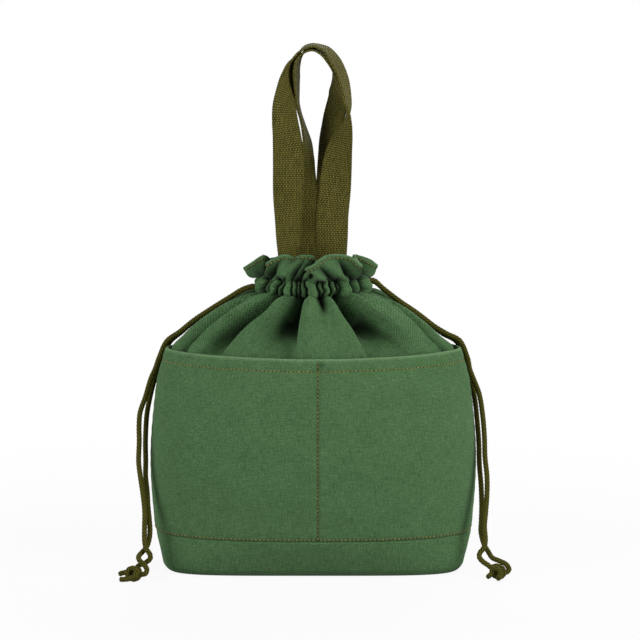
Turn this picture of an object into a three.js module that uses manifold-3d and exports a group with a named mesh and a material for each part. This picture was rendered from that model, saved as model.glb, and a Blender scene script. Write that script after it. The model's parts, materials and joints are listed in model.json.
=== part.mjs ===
// A gathered lunch bag of woven canvas. A roomy outer wall makes slip pockets round a softer
// inner bag, which narrows over its shoulders into a neck, a cord tunnel and a frill. Two webbing
// loops are sewn inside the mouth, and two draw cords leave the tunnel at the sides and end in
// knots on the ground. Millimetres, +Z up, front towards -Y, origin in the middle of the underside.

import * as THREE from "three";
import { mergeVertices } from "three/addons/utils/BufferGeometryUtils.js";
import Module from "manifold-3d";

const wasm = await Module();
wasm.setup();

// Cloth, webbing and cord
const cloth = 1.2;
const seat = 0.3;
const strapWidth = 25;
const strapThick = 1.8;
const cordDiameter = 3.6;

// Outer wall: full widths and depths, from the ground up to the pocket hem
const baseWidth = 239;
const baseDepth = 100;
const seamWidth = 254.6;
const seamDepth = 124;
const bellyWidth = 262;
const bellyDepth = 133;
const upperWidth = 252;
const upperDepth = 127;
const hemWidth = 236.6;
const hemDepth = 116.6;
const seamHeight = 32;
const bellyHeight = 85;
const upperHeight = 148;
const hemHeight = 177.4;
const baseEdgeRadius = 6;
const seamOverlap = 7;
const seamLap = 1.2;
const pocketSlackWide = 7.5;
const pocketSlackDeep = 13;
const pocketOpenHeight = 75;
const middleSeamSide = 3.5;
const middleSeamWidth = 15;

// Shoulders and neck of the inner bag
const shoulderWidth = 224;
const shoulderDepth = 95.5;
const neckWidth = 79;
const neckDepth = 55;
const neckHeight = 222.8;
const tunnelHeight = 12;
const leftFullness = 3.5;

// Cord tunnel
const tunnelBulge = 5.9;
const tunnelEndGap = 7.5;
const laneHeight = 2.5;
const exitReach = 45.3;
const exitSpread = 2.3;

// Frill above the tunnel
const frillWidth = 108;
const frillDepth = 88;
const frillRise = 22;

// Carrying loops
const hingeHeight = 285;
const frontLoopRise = 136.5;
const rearLoopRise = 130;
const loopHalfWidth = 27.5;
const handleSetback = 12.5;
const hingeGap = 0.4;
const legSide = 16.5;
const rearLeftLegSide = 10.5;
const legEndHeight = 197;
const legSewnHeight = 212;
const legFreeHeight = 233;

// Knots
const knotHalfLength = 7.2;
const knotHalfWidth = 5.8;
const knotHalfHeight = 5.3;

const tinyArea = 1e-9;

const colours = {
  canvas: 0x4d7049,
  webbing: 0x58542a,
  cord: 0x4a4524,
};

const bag = new THREE.Group();

function addPart(name, geometry, colour, roughness) {
  const material = new THREE.MeshStandardMaterial({ color: colour, roughness, metalness: 0 });
  const mesh = new THREE.Mesh(geometry, material);
  mesh.name = name;
  bag.add(mesh);
}

// A smooth curve through rows of values without overshoot, read at one height
function smoothRow(rows, height) {
  const last = rows.length - 1;
  let k = 0;
  while (k < last - 1 && height > rows[k + 1][0]) k += 1;
  const span = rows[k + 1][0] - rows[k][0];
  const t = Math.min(1, Math.max(0, (height - rows[k][0]) / span));
  return rows[k].slice(1).map((value, index) => {
    const column = index + 1;
    const rise = (row) => (rows[row + 1][column] - rows[row][column]) / (rows[row + 1][0] - rows[row][0]);
    const slope = (row) => {
      if (row === 0) return rise(0);
      if (row === last) return rise(last - 1);
      const before = rise(row - 1);
      const after = rise(row);
      return before * after <= 0 ? 0 : (2 * before * after) / (before + after);
    };
    const next = rows[k + 1][column];
    const leave = slope(k) * span;
    const arrive = slope(k + 1) * span;
    const t2 = t * t;
    const t3 = t2 * t;
    return (2 * t3 - 3 * t2 + 1) * value + (t3 - 2 * t2 + t) * leave
      + (3 * t2 - 2 * t3) * next + (t3 - t2) * arrive;
  });
}

// Rounded section: squareness 2 is an oval, more is boxier, less is pinched at the side seams
function ringPoint(angle, halfRight, halfLeft, halfDepth, squareness) {
  const c = Math.cos(angle);
  const s = Math.sin(angle);
  const reach = (Math.abs(c) ** squareness + Math.abs(s) ** squareness) ** (-1 / squareness);
  const halfWidth = c < 0 ? halfLeft : halfRight;
  return [halfWidth * c * reach, halfDepth * s * reach];
}

// Outer wall rows: height, half width, half depth, squareness
const wallRows = [
  [0, baseWidth / 2, baseDepth / 2, 4.8],
  [seamHeight, seamWidth / 2, seamDepth / 2, 2.6],
  [bellyHeight, bellyWidth / 2, bellyDepth / 2, 2.3],
  [upperHeight, upperWidth / 2, upperDepth / 2, 2.0],
  [hemHeight, hemWidth / 2, hemDepth / 2, 1.75],
];

function wallPoint(angle, height, inset) {
  const [halfWidth, halfDepth, squareness] = smoothRow(wallRows, height);
  return ringPoint(angle, halfWidth - inset, halfWidth - inset, halfDepth - inset, squareness);
}

// Inner bag rows above the hem, as shares of the way from shoulder to neck:
// rise, narrowing in width, narrowing in depth, squareness, share of the left side's fullness
const collarShares = [
  [0.18, 0.135, 0.085, 1.8, 0.75],
  [0.36, 0.27, 0.2, 1.85, 1],
  [0.53, 0.42, 0.36, 1.9, 0.9],
  [0.7, 0.6, 0.52, 2, 0.6],
  [0.87, 0.86, 0.84, 2, 0.25],
  [0.955, 0.975, 0.955, 2, 0.05],
  [1, 1, 1, 2, 0],
];
const seamInset = 2 * cloth + 2 * seat;
const wideInset = cloth + pocketSlackWide;
const deepInset = cloth + pocketSlackDeep;
const collarRise = neckHeight - hemHeight;
const narrowWidth = (shoulderWidth - neckWidth) / 2;
const narrowDepth = (shoulderDepth - neckDepth) / 2;

// Inner bag rows: height, half width, half depth, squareness, extra fullness of the left side
const innerRows = [
  [seamHeight, seamWidth / 2 - seamInset, seamDepth / 2 - seamInset, 2.6, 0],
  [pocketOpenHeight, bellyWidth / 2 - wideInset, bellyDepth / 2 - deepInset, 2.3, 0],
  [upperHeight, upperWidth / 2 - wideInset, upperDepth / 2 - deepInset, 2.0, 0],
  [hemHeight, shoulderWidth / 2, shoulderDepth / 2, 1.8, leftFullness / 4],
  ...collarShares.map(([rise, wide, deep, squareness, full]) => [
    hemHeight + collarRise * rise,
    shoulderWidth / 2 - narrowWidth * wide,
    shoulderDepth / 2 - narrowDepth * deep,
    squareness,
    leftFullness * full,
  ]),
  [neckHeight + tunnelHeight, neckWidth / 2, neckDepth / 2, 2, 0],
];

// Where the middle seam holds the inner bag against the pocket, the inner bag bulges out to it
function seamPull(side, height) {
  const across = (side - middleSeamSide) / middleSeamWidth;
  const above = Math.max(0, height - hemHeight) / (collarRise / 3);
  const below = Math.min(1, Math.max(0, (height - seamHeight) / (pocketOpenHeight - seamHeight)));
  return Math.exp(-across * across) * Math.exp(-above * above) * below;
}

function innerPoint(angle, height, inset) {
  const [halfWidth, halfDepth, squareness, extra] = smoothRow(innerRows, height);
  const right = halfWidth - inset;
  const [x, y] = ringPoint(angle, right, right + extra, halfDepth - inset, squareness);
  const [, wallHalfDepth, wallSquareness] = smoothRow(wallRows, Math.min(height, hemHeight));
  const reach = wallHalfDepth - cloth - seat - inset;
  const wallY = ringPoint(angle, right, right, reach, wallSquareness)[1];
  return [x, y + (wallY - y) * seamPull(x, height)];
}

// Closed solid between two grids of points; a column runs up each grid, side by side
function shellSolid(columns, closed) {
  const positions = [];
  const corner = (a, b, c) => {
    const u = new THREE.Vector3().subVectors(b, a);
    const v = new THREE.Vector3().subVectors(c, a);
    if (u.cross(v).length() > tinyArea) positions.push(...a.toArray(), ...b.toArray(), ...c.toArray());
  };
  const face = (a, b, c, d) => {
    corner(a, b, c);
    corner(a, c, d);
  };
  const count = columns.length;
  const spans = closed ? count : count - 1;
  const top = columns[0].outer.length - 1;
  for (let j = 0; j < spans; j += 1) {
    const here = columns[j];
    const next = columns[(j + 1) % count];
    for (let i = 0; i < top; i += 1) {
      face(here.outer[i], next.outer[i], next.outer[i + 1], here.outer[i + 1]);
      face(here.inner[i], here.inner[i + 1], next.inner[i + 1], next.inner[i]);
    }
    face(here.inner[0], next.inner[0], next.outer[0], here.outer[0]);
    face(here.outer[top], next.outer[top], next.inner[top], here.inner[top]);
  }
  if (!closed) {
    for (let i = 0; i < top; i += 1) {
      const first = columns[0];
      const last = columns[count - 1];
      face(first.outer[i], first.outer[i + 1], first.inner[i + 1], first.inner[i]);
      face(last.outer[i], last.inner[i], last.inner[i + 1], last.outer[i + 1]);
    }
  }
  return tidyGeometry(positions);
}

// Shared corners, and faces turned outwards
function tidyGeometry(positions) {
  const loose = new THREE.BufferGeometry();
  loose.setAttribute("position", new THREE.Float32BufferAttribute(positions, 3));
  const geometry = mergeVertices(loose, seat / 1000);
  const spots = geometry.attributes.position;
  const index = Array.from(geometry.index.array);
  const a = new THREE.Vector3();
  const b = new THREE.Vector3();
  const c = new THREE.Vector3();
  let volume = 0;
  for (let i = 0; i < index.length; i += 3) {
    a.fromBufferAttribute(spots, index[i]);
    b.fromBufferAttribute(spots, index[i + 1]);
    c.fromBufferAttribute(spots, index[i + 2]);
    volume += a.dot(b.cross(c));
  }
  if (volume < 0) {
    for (let i = 0; i < index.length; i += 3) [index[i + 1], index[i + 2]] = [index[i + 2], index[i + 1]];
    geometry.setIndex(index);
  }
  geometry.computeVertexNormals();
  return geometry;
}

// The angles of one half of the bag, from side seam to side seam: front is -1, back is 1
function halfAngles(half, count) {
  return Array.from({ length: count + 1 }, (_, j) => (half < 0 ? Math.PI : 0) + (Math.PI * j) / count);
}

function halfShell(half, count, heights, outerAt, innerAt) {
  const shift = (half * seat) / 2;
  const place = ([x, y], z) => new THREE.Vector3(x, y + shift, z);
  return shellSolid(halfAngles(half, count).map((angle) => ({
    outer: heights.map((z) => place(outerAt(angle, z), z)),
    inner: heights.map((z) => place(innerAt(angle, z), z)),
  })), false);
}

function rowsBetween(low, high, count) {
  return Array.from({ length: count + 1 }, (_, i) => low + ((high - low) * i) / count);
}

// Base panel: a shallow tray of one piece of cloth, lapped by the wall at its upper edge
function basePanel() {
  const rounding = [0, 0.3, 0.7, 1].map((share) => (share * Math.PI) / 2);
  const topHeight = seamHeight + seamOverlap;
  const lapStart = seamHeight - seamLap;
  const wallHeights = [...rowsBetween(baseEdgeRadius * 2, lapStart - 2 * seamLap, 1), lapStart, topHeight];
  const outline = (angle, thickness) => {
    const points = [new THREE.Vector3(0, 0, thickness)];
    const radius = baseEdgeRadius;
    rounding.forEach((turn) => {
      const z = radius - (radius - thickness) * Math.cos(turn);
      const [x, y] = wallPoint(angle, 0, radius - (radius - thickness) * Math.sin(turn));
      points.push(new THREE.Vector3(x, y, z));
    });
    wallHeights.forEach((z) => {
      const lap = z >= lapStart ? cloth + seat : 0;
      const [x, y] = wallPoint(angle, z, lap + thickness);
      points.push(new THREE.Vector3(x, y, z));
    });
    return points;
  };
  const count = 56;
  const columns = Array.from({ length: count }, (_, j) => (2 * Math.PI * j) / count).map((angle) => ({
    outer: outline(angle, 0),
    inner: outline(angle, cloth),
  }));
  return shellSolid(columns, true);
}

function pocketPanel(half) {
  const heights = rowsBetween(seamHeight - seamLap / 2, hemHeight, 8);
  return halfShell(half, 30, heights,
    (angle, z) => wallPoint(angle, z, 0),
    (angle, z) => wallPoint(angle, z, cloth));
}

function bodyPanel(half) {
  const low = seamHeight + seamLap;
  const heights = [
    ...rowsBetween(low, hemHeight, 6),
    ...collarShares.map(([rise]) => hemHeight + collarRise * rise),
    neckHeight + tunnelHeight,
  ];
  return halfShell(half, 36, heights,
    (angle, z) => innerPoint(angle, z, 0),
    (angle, z) => innerPoint(angle, z, cloth));
}

// Cord tunnel strip: a rolled band that hugs the neck along both edges and bulges over the cords
const tunnelProfileShares = [
  [0, 0], [0.55, 0.02], [0.95, 0.22], [1, 0.5], [0.95, 0.78], [0.55, 0.98], [0, 1],
];

function tunnelStrip(half) {
  const low = neckHeight;
  const tall = tunnelHeight;
  const middle = low + tall / 2;
  const ring = (angle, out, z) => {
    const [x, y] = ringPoint(angle, neckWidth / 2 + out, neckWidth / 2 + out, neckDepth / 2 + out, 2);
    return new THREE.Vector3(x, y, z);
  };
  const sideStart = Math.asin(tunnelEndGap / (neckDepth / 2 + tunnelBulge));
  const count = 36;
  const start = (half < 0 ? Math.PI : 0) + sideStart;
  const angles = rowsBetween(start, start + Math.PI - 2 * sideStart, count);
  const columns = angles.map((angle) => ({
    outer: tunnelProfileShares.map(([out, up]) => (
      ring(angle, seat + (tunnelBulge - seat) * out, low + tall * up)
    )),
    inner: tunnelProfileShares.map(([out, up]) => {
      const z = middle + (tall - 2 * cloth) * (up - 0.5);
      return ring(angle, seat + (tunnelBulge - seat - cloth) * out, z);
    }),
  }));
  return shellSolid(columns, false);
}

// Frill: hem places going round, as shares of half width, half depth and rise above the tunnel
const frontHemShares = [
  [-1.028, -0.015, 0.31], [-0.88, -0.18, 0.6], [-0.73, -0.32, 0.86], [-0.64, -0.2, 0.65],
  [-0.68, -0.55, 0.62],
  [-0.6, -0.66, 0.78], [-0.46, -0.66, 0.95], [-0.35, -0.6, 0.93], [-0.27, -0.48, 0.82], [-0.15, -0.55, 0.91],
  [-0.04, -0.62, 0.93], [0.02, -0.52, 0.84], [0.01, -0.38, 0.7], [0.06, -0.56, 0.72], [0.03, -0.8, 0.62],
  [-0.12, -0.95, 0.53], [0.0, -1.01, 0.69], [0.1, -0.9, 0.88], [0.19, -0.79, 0.98], [0.32, -0.75, 1],
  [0.45, -0.73, 0.97], [0.56, -0.72, 0.88], [0.7, -0.78, 0.62], [0.66, -0.55, 0.66], [0.62, -0.34, 0.74],
  [0.6, -0.17, 0.82], [0.66, -0.12, 0.8], [0.82, -0.08, 0.6], [0.946, -0.015, 0.4],
];
const rearHemShares = [
  [0.946, 0.015, 0.4], [0.84, 0.18, 0.55], [0.7, 0.25, 0.66], [0.62, 0.28, 0.66], [0.6, 0.42, 0.6],
  [0.64, 0.62, 0.46], [0.52, 0.77, 0.48], [0.34, 0.8, 0.52], [0.2, 0.7, 0.56], [0.1, 0.54, 0.58],
  [0.0, 0.52, 0.58], [-0.05, 0.68, 0.5], [0.03, 0.92, 0.36], [-0.1, 0.99, 0.42], [-0.27, 0.92, 0.5],
  [-0.38, 0.76, 0.55], [-0.42, 0.58, 0.57], [-0.52, 0.52, 0.56], [-0.62, 0.6, 0.48], [-0.76, 0.7, 0.34],
  [-0.8, 0.5, 0.42], [-0.76, 0.32, 0.56], [-0.83, 0.16, 0.52], [-0.93, 0.09, 0.42], [-1.028, 0.015, 0.31],
];

function frill(half) {
  const hemShares = half < 0 ? frontHemShares : rearHemShares;
  const low = neckHeight + tunnelHeight + seat;
  const hem = new THREE.CatmullRomCurve3(hemShares.map(([side, deep, up]) =>
    new THREE.Vector3((side * frillWidth) / 2, (deep * frillDepth) / 2, low + up * frillRise)));
  const count = 54;
  const rows = 4;
  const middle = halfAngles(half, count).map((angle, j) => {
    const share = j / count;
    const [x, y] = ringPoint(angle, neckWidth / 2 - cloth / 2, neckWidth / 2 - cloth / 2,
      neckDepth / 2 - cloth / 2, 2);
    const foot = new THREE.Vector3(x, y + (half * seat) / 2, low);
    const head = hem.getPointAt(share);
    return rowsBetween(0, 1, rows).map((up) => {
      const flare = up ** 1.4;
      return new THREE.Vector3(
        foot.x + (head.x - foot.x) * flare,
        foot.y + (head.y - foot.y) * flare,
        foot.z + (head.z - foot.z) * up,
      );
    });
  });
  const columns = middle.map((column, j) => {
    const before = middle[Math.max(0, j - 1)];
    const after = middle[Math.min(count, j + 1)];
    const offset = (sign) => column.map((point, i) => {
      const along = new THREE.Vector3().subVectors(after[i], before[i]);
      const up = new THREE.Vector3().subVectors(column[Math.min(rows, i + 1)], column[Math.max(0, i - 1)]);
      const out = along.cross(up).normalize();
      if (i === 0) out.setZ(0).normalize();
      if (j === 0 || j === count) out.setY(0).normalize();
      return point.clone().addScaledVector(out, (sign * cloth) / 2);
    });
    return { outer: offset(1), inner: offset(-1) };
  });
  return shellSolid(columns, false);
}

// Carrying loops: places along the webbing from the left hinge over the top to the right hinge.
// Shares of rise, half width and setback, then the webbing's turn from edge-on in degrees
const frontLoopShares = [
  [0, -0.72, -1, 90], [0.147, -0.713, -1.02, 86], [0.278, -0.71, -1.06, 83], [0.381, -0.72, -1.06, 74],
  [0.469, -0.755, -1.08, 63], [0.557, -0.805, -1.04, 53], [0.645, -0.825, -0.88, 43],
  [0.733, -0.805, -0.6, 29], [0.82, -0.74, -0.26, 16], [0.894, -0.63, 0, 9], [0.952, -0.455, 0, 4],
  [0.985, -0.255, 0, 1], [1, 0, 0, 0],
  [0.987, 0.25, 0, 8], [0.96, 0.44, 0, 15], [0.894, 0.67, -0.04, 19], [0.806, 0.86, -0.08, 17],
  [0.718, 0.955, -0.2, 14], [0.634, 0.99, -0.4, 9], [0.549, 0.94, -0.8, -14], [0.469, 0.85, -1.04, -36],
  [0.381, 0.75, -1.14, -54], [0.278, 0.68, -1.12, -70], [0.147, 0.63, -1.04, -84], [0, 0.565, -1, -90],
];
const rearLoopShares = [
  [0, -0.38, 1, 90], [0.135, -0.33, 1.08, 75], [0.228, -0.273, 1.16, 50], [0.318, -0.2, 1.22, 30],
  [0.408, -0.175, 1.3, 15], [0.502, -0.25, 1.28, 6], [0.584, -0.33, 1.18, 2], [0.652, -0.38, 1, 2],
  [0.727, -0.415, 0.76, 4], [0.8, -0.446, 0.5, 7], [0.854, -0.448, 0.28, 8], [0.914, -0.38, 0.1, 6],
  [0.966, -0.22, 0, 3], [1, 0.01, 0, 0],
  [0.975, 0.25, 0, 5], [0.927, 0.44, 0.04, 7], [0.88, 0.575, 0.14, 4], [0.809, 0.665, 0.34, -8],
  [0.734, 0.685, 0.6, -21], [0.671, 0.665, 0.88, -30], [0.539, 0.51, 1.34, -29], [0.434, 0.42, 1.42, -28],
  [0.315, 0.41, 1.34, -32], [0.157, 0.49, 1.14, -56], [0, 0.545, 1, -90],
];

function ribbon(stations) {
  return shellSolid(stations.map(({ centre, wide, out }) => {
    const edge = (across, away) => centre.clone()
      .addScaledVector(wide, (across * strapWidth) / 2)
      .addScaledVector(out, (away * strapThick) / 2);
    return { outer: [edge(-1, 1), edge(0, 1), edge(1, 1)], inner: [edge(-1, -1), edge(0, -1), edge(1, -1)] };
  }), false);
}

function carryingLoop(shares, rise) {
  const places = shares.map(([up, side, back]) => new THREE.Vector3(
    side * loopHalfWidth, back * handleSetback, hingeHeight + hingeGap + up * (rise - hingeGap)));
  const centres = new THREE.CatmullRomCurve3(places, false, "catmullrom", 0.5);
  const turns = new THREE.CatmullRomCurve3(shares.map((row) => new THREE.Vector3(row[3], 0, 0)),
    false, "catmullrom", 0.5);
  const count = (shares.length - 1) * 2;
  const stations = rowsBetween(0, 1, count).map((share) => {
    const turn = THREE.MathUtils.degToRad(turns.getPoint(share).x);
    const along = centres.getTangent(share);
    if (share === 0) along.set(0, 0, 1);
    if (share === 1) along.set(0, 0, -1);
    const wide = new THREE.Vector3(Math.sin(turn), Math.cos(turn), 0);
    wide.addScaledVector(along, -wide.dot(along)).normalize();
    return { centre: centres.getPoint(share), wide, out: new THREE.Vector3().crossVectors(along, wide) };
  });
  return ribbon(stations);
}

// Fixed end of a loop: flat through the mouth, then fanned out against the shoulder cloth
function loopEnd(half, topSide, footSide) {
  const side = Math.sign(topSide) * footSide;
  const heights = [hingeHeight, legFreeHeight + frillRise, legFreeHeight, neckHeight,
    (legSewnHeight + neckHeight) / 2, legSewnHeight, (legSewnHeight + legEndHeight) / 2, legEndHeight];
  const acrossShares = rowsBetween(-0.5, 0.5, 4);
  const wallDepth = (x, z) => {
    const [halfWidth, halfDepth, squareness] = smoothRow(innerRows, z);
    const inner = Math.min(1, Math.abs(x) / (halfWidth - cloth));
    return (halfDepth - cloth) * (1 - inner ** squareness) ** (1 / squareness);
  };
  const columns = heights.map((z) => {
    const lift = Math.min(1, Math.max(0, (z - legFreeHeight) / (hingeHeight - legFreeHeight)));
    const drop = Math.min(1, Math.max(0, (legFreeHeight - z) / (legFreeHeight - legSewnHeight)));
    const lay = drop * drop * (3 - 2 * drop);
    const middle = side + (topSide - side) * lift;
    const point = (across, away) => {
      const x = middle + across * strapWidth;
      const sewn = wallDepth(x, z) - 2 * seat - strapThick / 2;
      const depth = handleSetback + (sewn - handleSetback) * lay;
      return new THREE.Vector3(x, half * (depth + (away * strapThick) / 2), z);
    };
    return { outer: acrossShares.map((s) => point(s, 1)), inner: acrossShares.map((s) => point(s, -1)) };
  });
  return shellSolid(columns, false);
}

// Draw cords inside the tunnel: one lane each, right round the neck and out at one side
const laneLow = neckHeight + tunnelHeight / 2 - laneHeight;
const laneHigh = laneLow + 2 * laneHeight;

function cordSection(sides) {
  const radius = cordDiameter / 2;
  const corners = Array.from({ length: sides }, (_, k) => {
    const angle = (2 * Math.PI * k) / sides;
    return new THREE.Vector2(radius * Math.cos(angle), radius * Math.sin(angle));
  });
  return new THREE.Shape(corners);
}

function cordTube(points, steps, sides) {
  const path = new THREE.CatmullRomCurve3(points);
  const settings = { steps, extrudePath: path, bevelEnabled: false };
  const tube = new THREE.ExtrudeGeometry(cordSection(sides), settings);
  return tidyGeometry(Array.from(tube.attributes.position.array));
}

function cordRun(side, lane) {
  const out = cordDiameter / 2 + seat;
  const count = 26;
  const leave = Math.asin((tunnelEndGap - cordDiameter / 3) / (neckDepth / 2 + out));
  const start = (side < 0 ? Math.PI : 0) + leave;
  const ring = rowsBetween(start, start + 2 * Math.PI - 2 * leave, count).map((angle) => {
    const [x, y] = ringPoint(angle, neckWidth / 2 + out, neckWidth / 2 + out, neckDepth / 2 + out, 2);
    return new THREE.Vector3(x, y, lane);
  });
  const bendSide = (exitReach + neckWidth / 2 + out) / 2;
  const turn = (lead) => [
    new THREE.Vector3(side * exitReach, lead * exitSpread, lane),
    new THREE.Vector3(side * bendSide, lead * (exitSpread + seat), lane),
  ];
  const first = side < 0 ? -1 : 1;
  return cordTube([...turn(first), ...ring, ...turn(-first).reverse()], 52, 6);
}

// Free strands: places along each cord, from the tunnel over the shoulder and the pocket hem,
// down beside the wall and forward to the knot
const strandStart = exitReach + 2 * seat;
const cordPlaces = {
  left_cord_front: [
    [-strandStart, -exitSpread, laneLow], [-50.5, -2.3, 226], [-59.4, -2, 222.4], [-69.8, -1, 216],
    [-82, 1, 208], [-95.5, 3.5, 198.6], [-106.8, 6, 189], [-117.6, 7.5, 180.8], [-123.6, 7, 168],
    [-126.8, 5, 159], [-130.6, 2.5, 150.5], [-134.6, -3, 137.2], [-138.6, -8, 126], [-139.4, -13, 115.5],
    [-139.1, -18, 103.4], [-139.4, -24, 89.2], [-138, -28, 77.8], [-135.8, -33, 64.6], [-134.2, -38, 51.4],
    [-134.2, -43, 38.7], [-134, -47.5, 29], [-132.6, -50.5, 23.4], [-129.8, -51.6, 19.4],
    [-129.6, -51.6, 15.6],
    [-133, -51.8, 12.6], [-138, -54, 10.8], [-141.8, -59, 8],
  ],
  left_cord_rear: [
    [-strandStart, exitSpread, laneLow], [-50.3, 2.6, 226], [-58.5, 4.6, 222.4], [-69, 6.8, 215],
    [-82, 8.5, 206.6], [-95.5, 10.2, 197.2], [-105.5, 11.8, 188], [-114.8, 12.6, 180], [-120.8, 12.6, 169],
    [-124.6, 11.6, 159], [-128.1, 8, 148], [-131.2, 4, 135.9], [-133.7, -2, 121.5], [-134.5, -9, 103.3],
    [-134.1, -16, 87.5], [-134, -22, 76.5], [-132.5, -27.5, 63.9], [-131.8, -32, 54], [-130.6, -36.6, 44],
    [-130, -39.8, 35.5], [-130.8, -42.2, 28.6], [-132.8, -44.3, 23.2], [-136.2, -47.6, 19.8],
    [-138.6, -52, 17.6],
    [-137.8, -56.8, 15.6], [-134.4, -59.6, 13], [-131.8, -62, 9.6], [-133, -64.4, 6.4], [-138.5, -64.6, 5.6],
  ],
  right_cord_front: [
    [strandStart, -exitSpread, laneHigh], [50, -2.3, 230], [58, -2, 223.4], [70.2, -1, 213.9],
    [84.2, 1, 203.7], [97, 4, 193.6], [107, 6.3, 187.2], [117.8, 7.5, 181], [123.8, 7, 167.5],
    [125.7, 5, 158.5], [128.8, 2.5, 150.5], [133.3, -2, 138.7], [135.8, -8, 122.7], [137, -14, 106.7],
    [137.3, -20, 91.6], [138.7, -26, 77.3], [138.6, -31, 64.1], [137.5, -36, 51], [136.4, -40, 39.6],
    [137, -43.6, 29.6], [135.9, -45.6, 23.6], [132.6, -47, 19.2], [132.2, -49, 16], [135, -51.4, 13],
    [139, -53, 10.6], [143, -53.6, 7],
  ],
  right_cord_rear: [
    [strandStart, exitSpread, laneHigh], [49.8, 2.6, 230.2], [57, 4.6, 223], [68, 7, 214.2],
    [81, 9, 205.2], [93.2, 10.4, 195.6], [103.6, 11.8, 186.6], [114.9, 12.6, 180], [120.6, 12.6, 168.4],
    [123.9, 11.4, 158], [127.3, 8, 146], [129.9, 3, 133.7], [131.5, -2, 118.7], [132.7, -9, 101.6],
    [133, -16, 85.1], [134.2, -22, 69.2], [134.6, -28, 54.1], [134.2, -32.6, 43], [133.8, -36.4, 34.1],
    [136, -39.4, 25], [139.6, -42, 18.9], [142.6, -44.5, 14.8], [147.8, -47, 12.9], [153.3, -49.5, 10.6],
    [155.6, -51.5, 6.8], [152.8, -53.2, 4.8], [148, -53.5, 5],
  ],
};

function toManifold(geometry) {
  const plain = new THREE.BufferGeometry();
  plain.setAttribute("position", geometry.attributes.position.clone());
  plain.setIndex(geometry.index);
  const merged = mergeVertices(plain, seat / 1000);
  return new wasm.Manifold(new wasm.Mesh({
    numProp: 3,
    vertProperties: new Float32Array(merged.attributes.position.array),
    triVerts: new Uint32Array(merged.index.array),
  }));
}

function fromManifold(solid) {
  const mesh = solid.getMesh();
  const positions = [];
  for (const vertex of mesh.triVerts) {
    positions.push(...mesh.vertProperties.slice(vertex * mesh.numProp, vertex * mesh.numProp + 3));
  }
  return tidyGeometry(positions);
}

// Knot: a tight lump where the two strands of a cord end, with two short cut ends. Shares of the
// lump's half sizes: its lead past the strands' ends, and the places of its cut ends
const knotShares = {
  left_knot: { lead: [-0.31, -0.12], turn: 12, ends: [[-1.54, 0.78, -0.34], [-1.33, -1.03, -0.38]] },
  right_knot: { lead: [0.15, 0], turn: -8, ends: [[-1.11, -1.36, -0.38], [-0.03, -2.14, -0.415]] },
};

function knotCentre(name) {
  const strandEnd = (end) => cordPlaces[name.replace("knot", `cord_${end}`)].at(-1);
  const [front, rear] = [strandEnd("front"), strandEnd("rear")];
  const [leadX, leadY] = knotShares[name].lead;
  return new THREE.Vector3(
    (front[0] + rear[0]) / 2 + leadX * knotHalfLength,
    (front[1] + rear[1]) / 2 + leadY * knotHalfWidth,
    knotHalfHeight + seat / 3,
  );
}

function knotLump(name, grow) {
  const lump = new THREE.SphereGeometry(1, 14, 9);
  const centre = knotCentre(name);
  lump.scale(knotHalfLength + grow, knotHalfWidth + grow, knotHalfHeight + grow);
  lump.rotateZ(THREE.MathUtils.degToRad(knotShares[name].turn));
  lump.translate(centre.x, centre.y, centre.z);
  lump.deleteAttribute("normal");
  lump.deleteAttribute("uv");
  return toManifold(mergeVertices(lump, seat / 1000));
}

function knotSolid(name) {
  const centre = knotCentre(name);
  const halfSizes = new THREE.Vector3(knotHalfLength, knotHalfWidth, knotHalfHeight);
  return knotShares[name].ends.reduce((solid, end) => {
    const tip = new THREE.Vector3(...end).multiply(halfSizes).add(centre);
    const start = new THREE.Vector3().lerpVectors(centre, tip, 0.4);
    return solid.add(toManifold(cordTube([start, tip], 1, 8)));
  }, knotLump(name, 0));
}

function freeStrand(name) {
  const points = cordPlaces[name].map((place) => new THREE.Vector3(...place));
  const knot = name.startsWith("left") ? "left_knot" : "right_knot";
  const tube = toManifold(cordTube(points, 20, 8));
  return fromManifold(tube.subtract(knotLump(knot, seat)));
}

addPart("base_panel", basePanel(), colours.canvas, 0.9);
addPart("front_pocket_panel", pocketPanel(-1), colours.canvas, 0.9);
addPart("back_pocket_panel", pocketPanel(1), colours.canvas, 0.9);
addPart("front_body_panel", bodyPanel(-1), colours.canvas, 0.9);
addPart("back_body_panel", bodyPanel(1), colours.canvas, 0.9);
addPart("front_casing", tunnelStrip(-1), colours.canvas, 0.9);
addPart("back_casing", tunnelStrip(1), colours.canvas, 0.9);
addPart("front_frill", frill(-1), colours.canvas, 0.9);
addPart("back_frill", frill(1), colours.canvas, 0.9);

addPart("front_handle", carryingLoop(frontLoopShares, frontLoopRise), colours.webbing, 0.85);
addPart("rear_handle", carryingLoop(rearLoopShares, rearLoopRise), colours.webbing, 0.85);
const topSides = (shares) => [shares[0][1] * loopHalfWidth, shares.at(-1)[1] * loopHalfWidth];
const [frontLeftSide, frontRightSide] = topSides(frontLoopShares);
const [rearLeftSide, rearRightSide] = topSides(rearLoopShares);
addPart("front_handle_left_end", loopEnd(-1, frontLeftSide, legSide), colours.webbing, 0.85);
addPart("front_handle_right_end", loopEnd(-1, frontRightSide, legSide), colours.webbing, 0.85);
addPart("rear_handle_left_end", loopEnd(1, rearLeftSide, rearLeftLegSide), colours.webbing, 0.85);
addPart("rear_handle_right_end", loopEnd(1, rearRightSide, legSide), colours.webbing, 0.85);

addPart("left_cord_run", cordRun(-1, laneLow), colours.cord, 0.8);
addPart("right_cord_run", cordRun(1, laneHigh), colours.cord, 0.8);
for (const name of Object.keys(cordPlaces)) addPart(name, freeStrand(name), colours.cord, 0.8);
for (const name of Object.keys(knotShares)) addPart(name, fromManifold(knotSolid(name)), colours.cord, 0.8);

export default bag;
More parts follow.
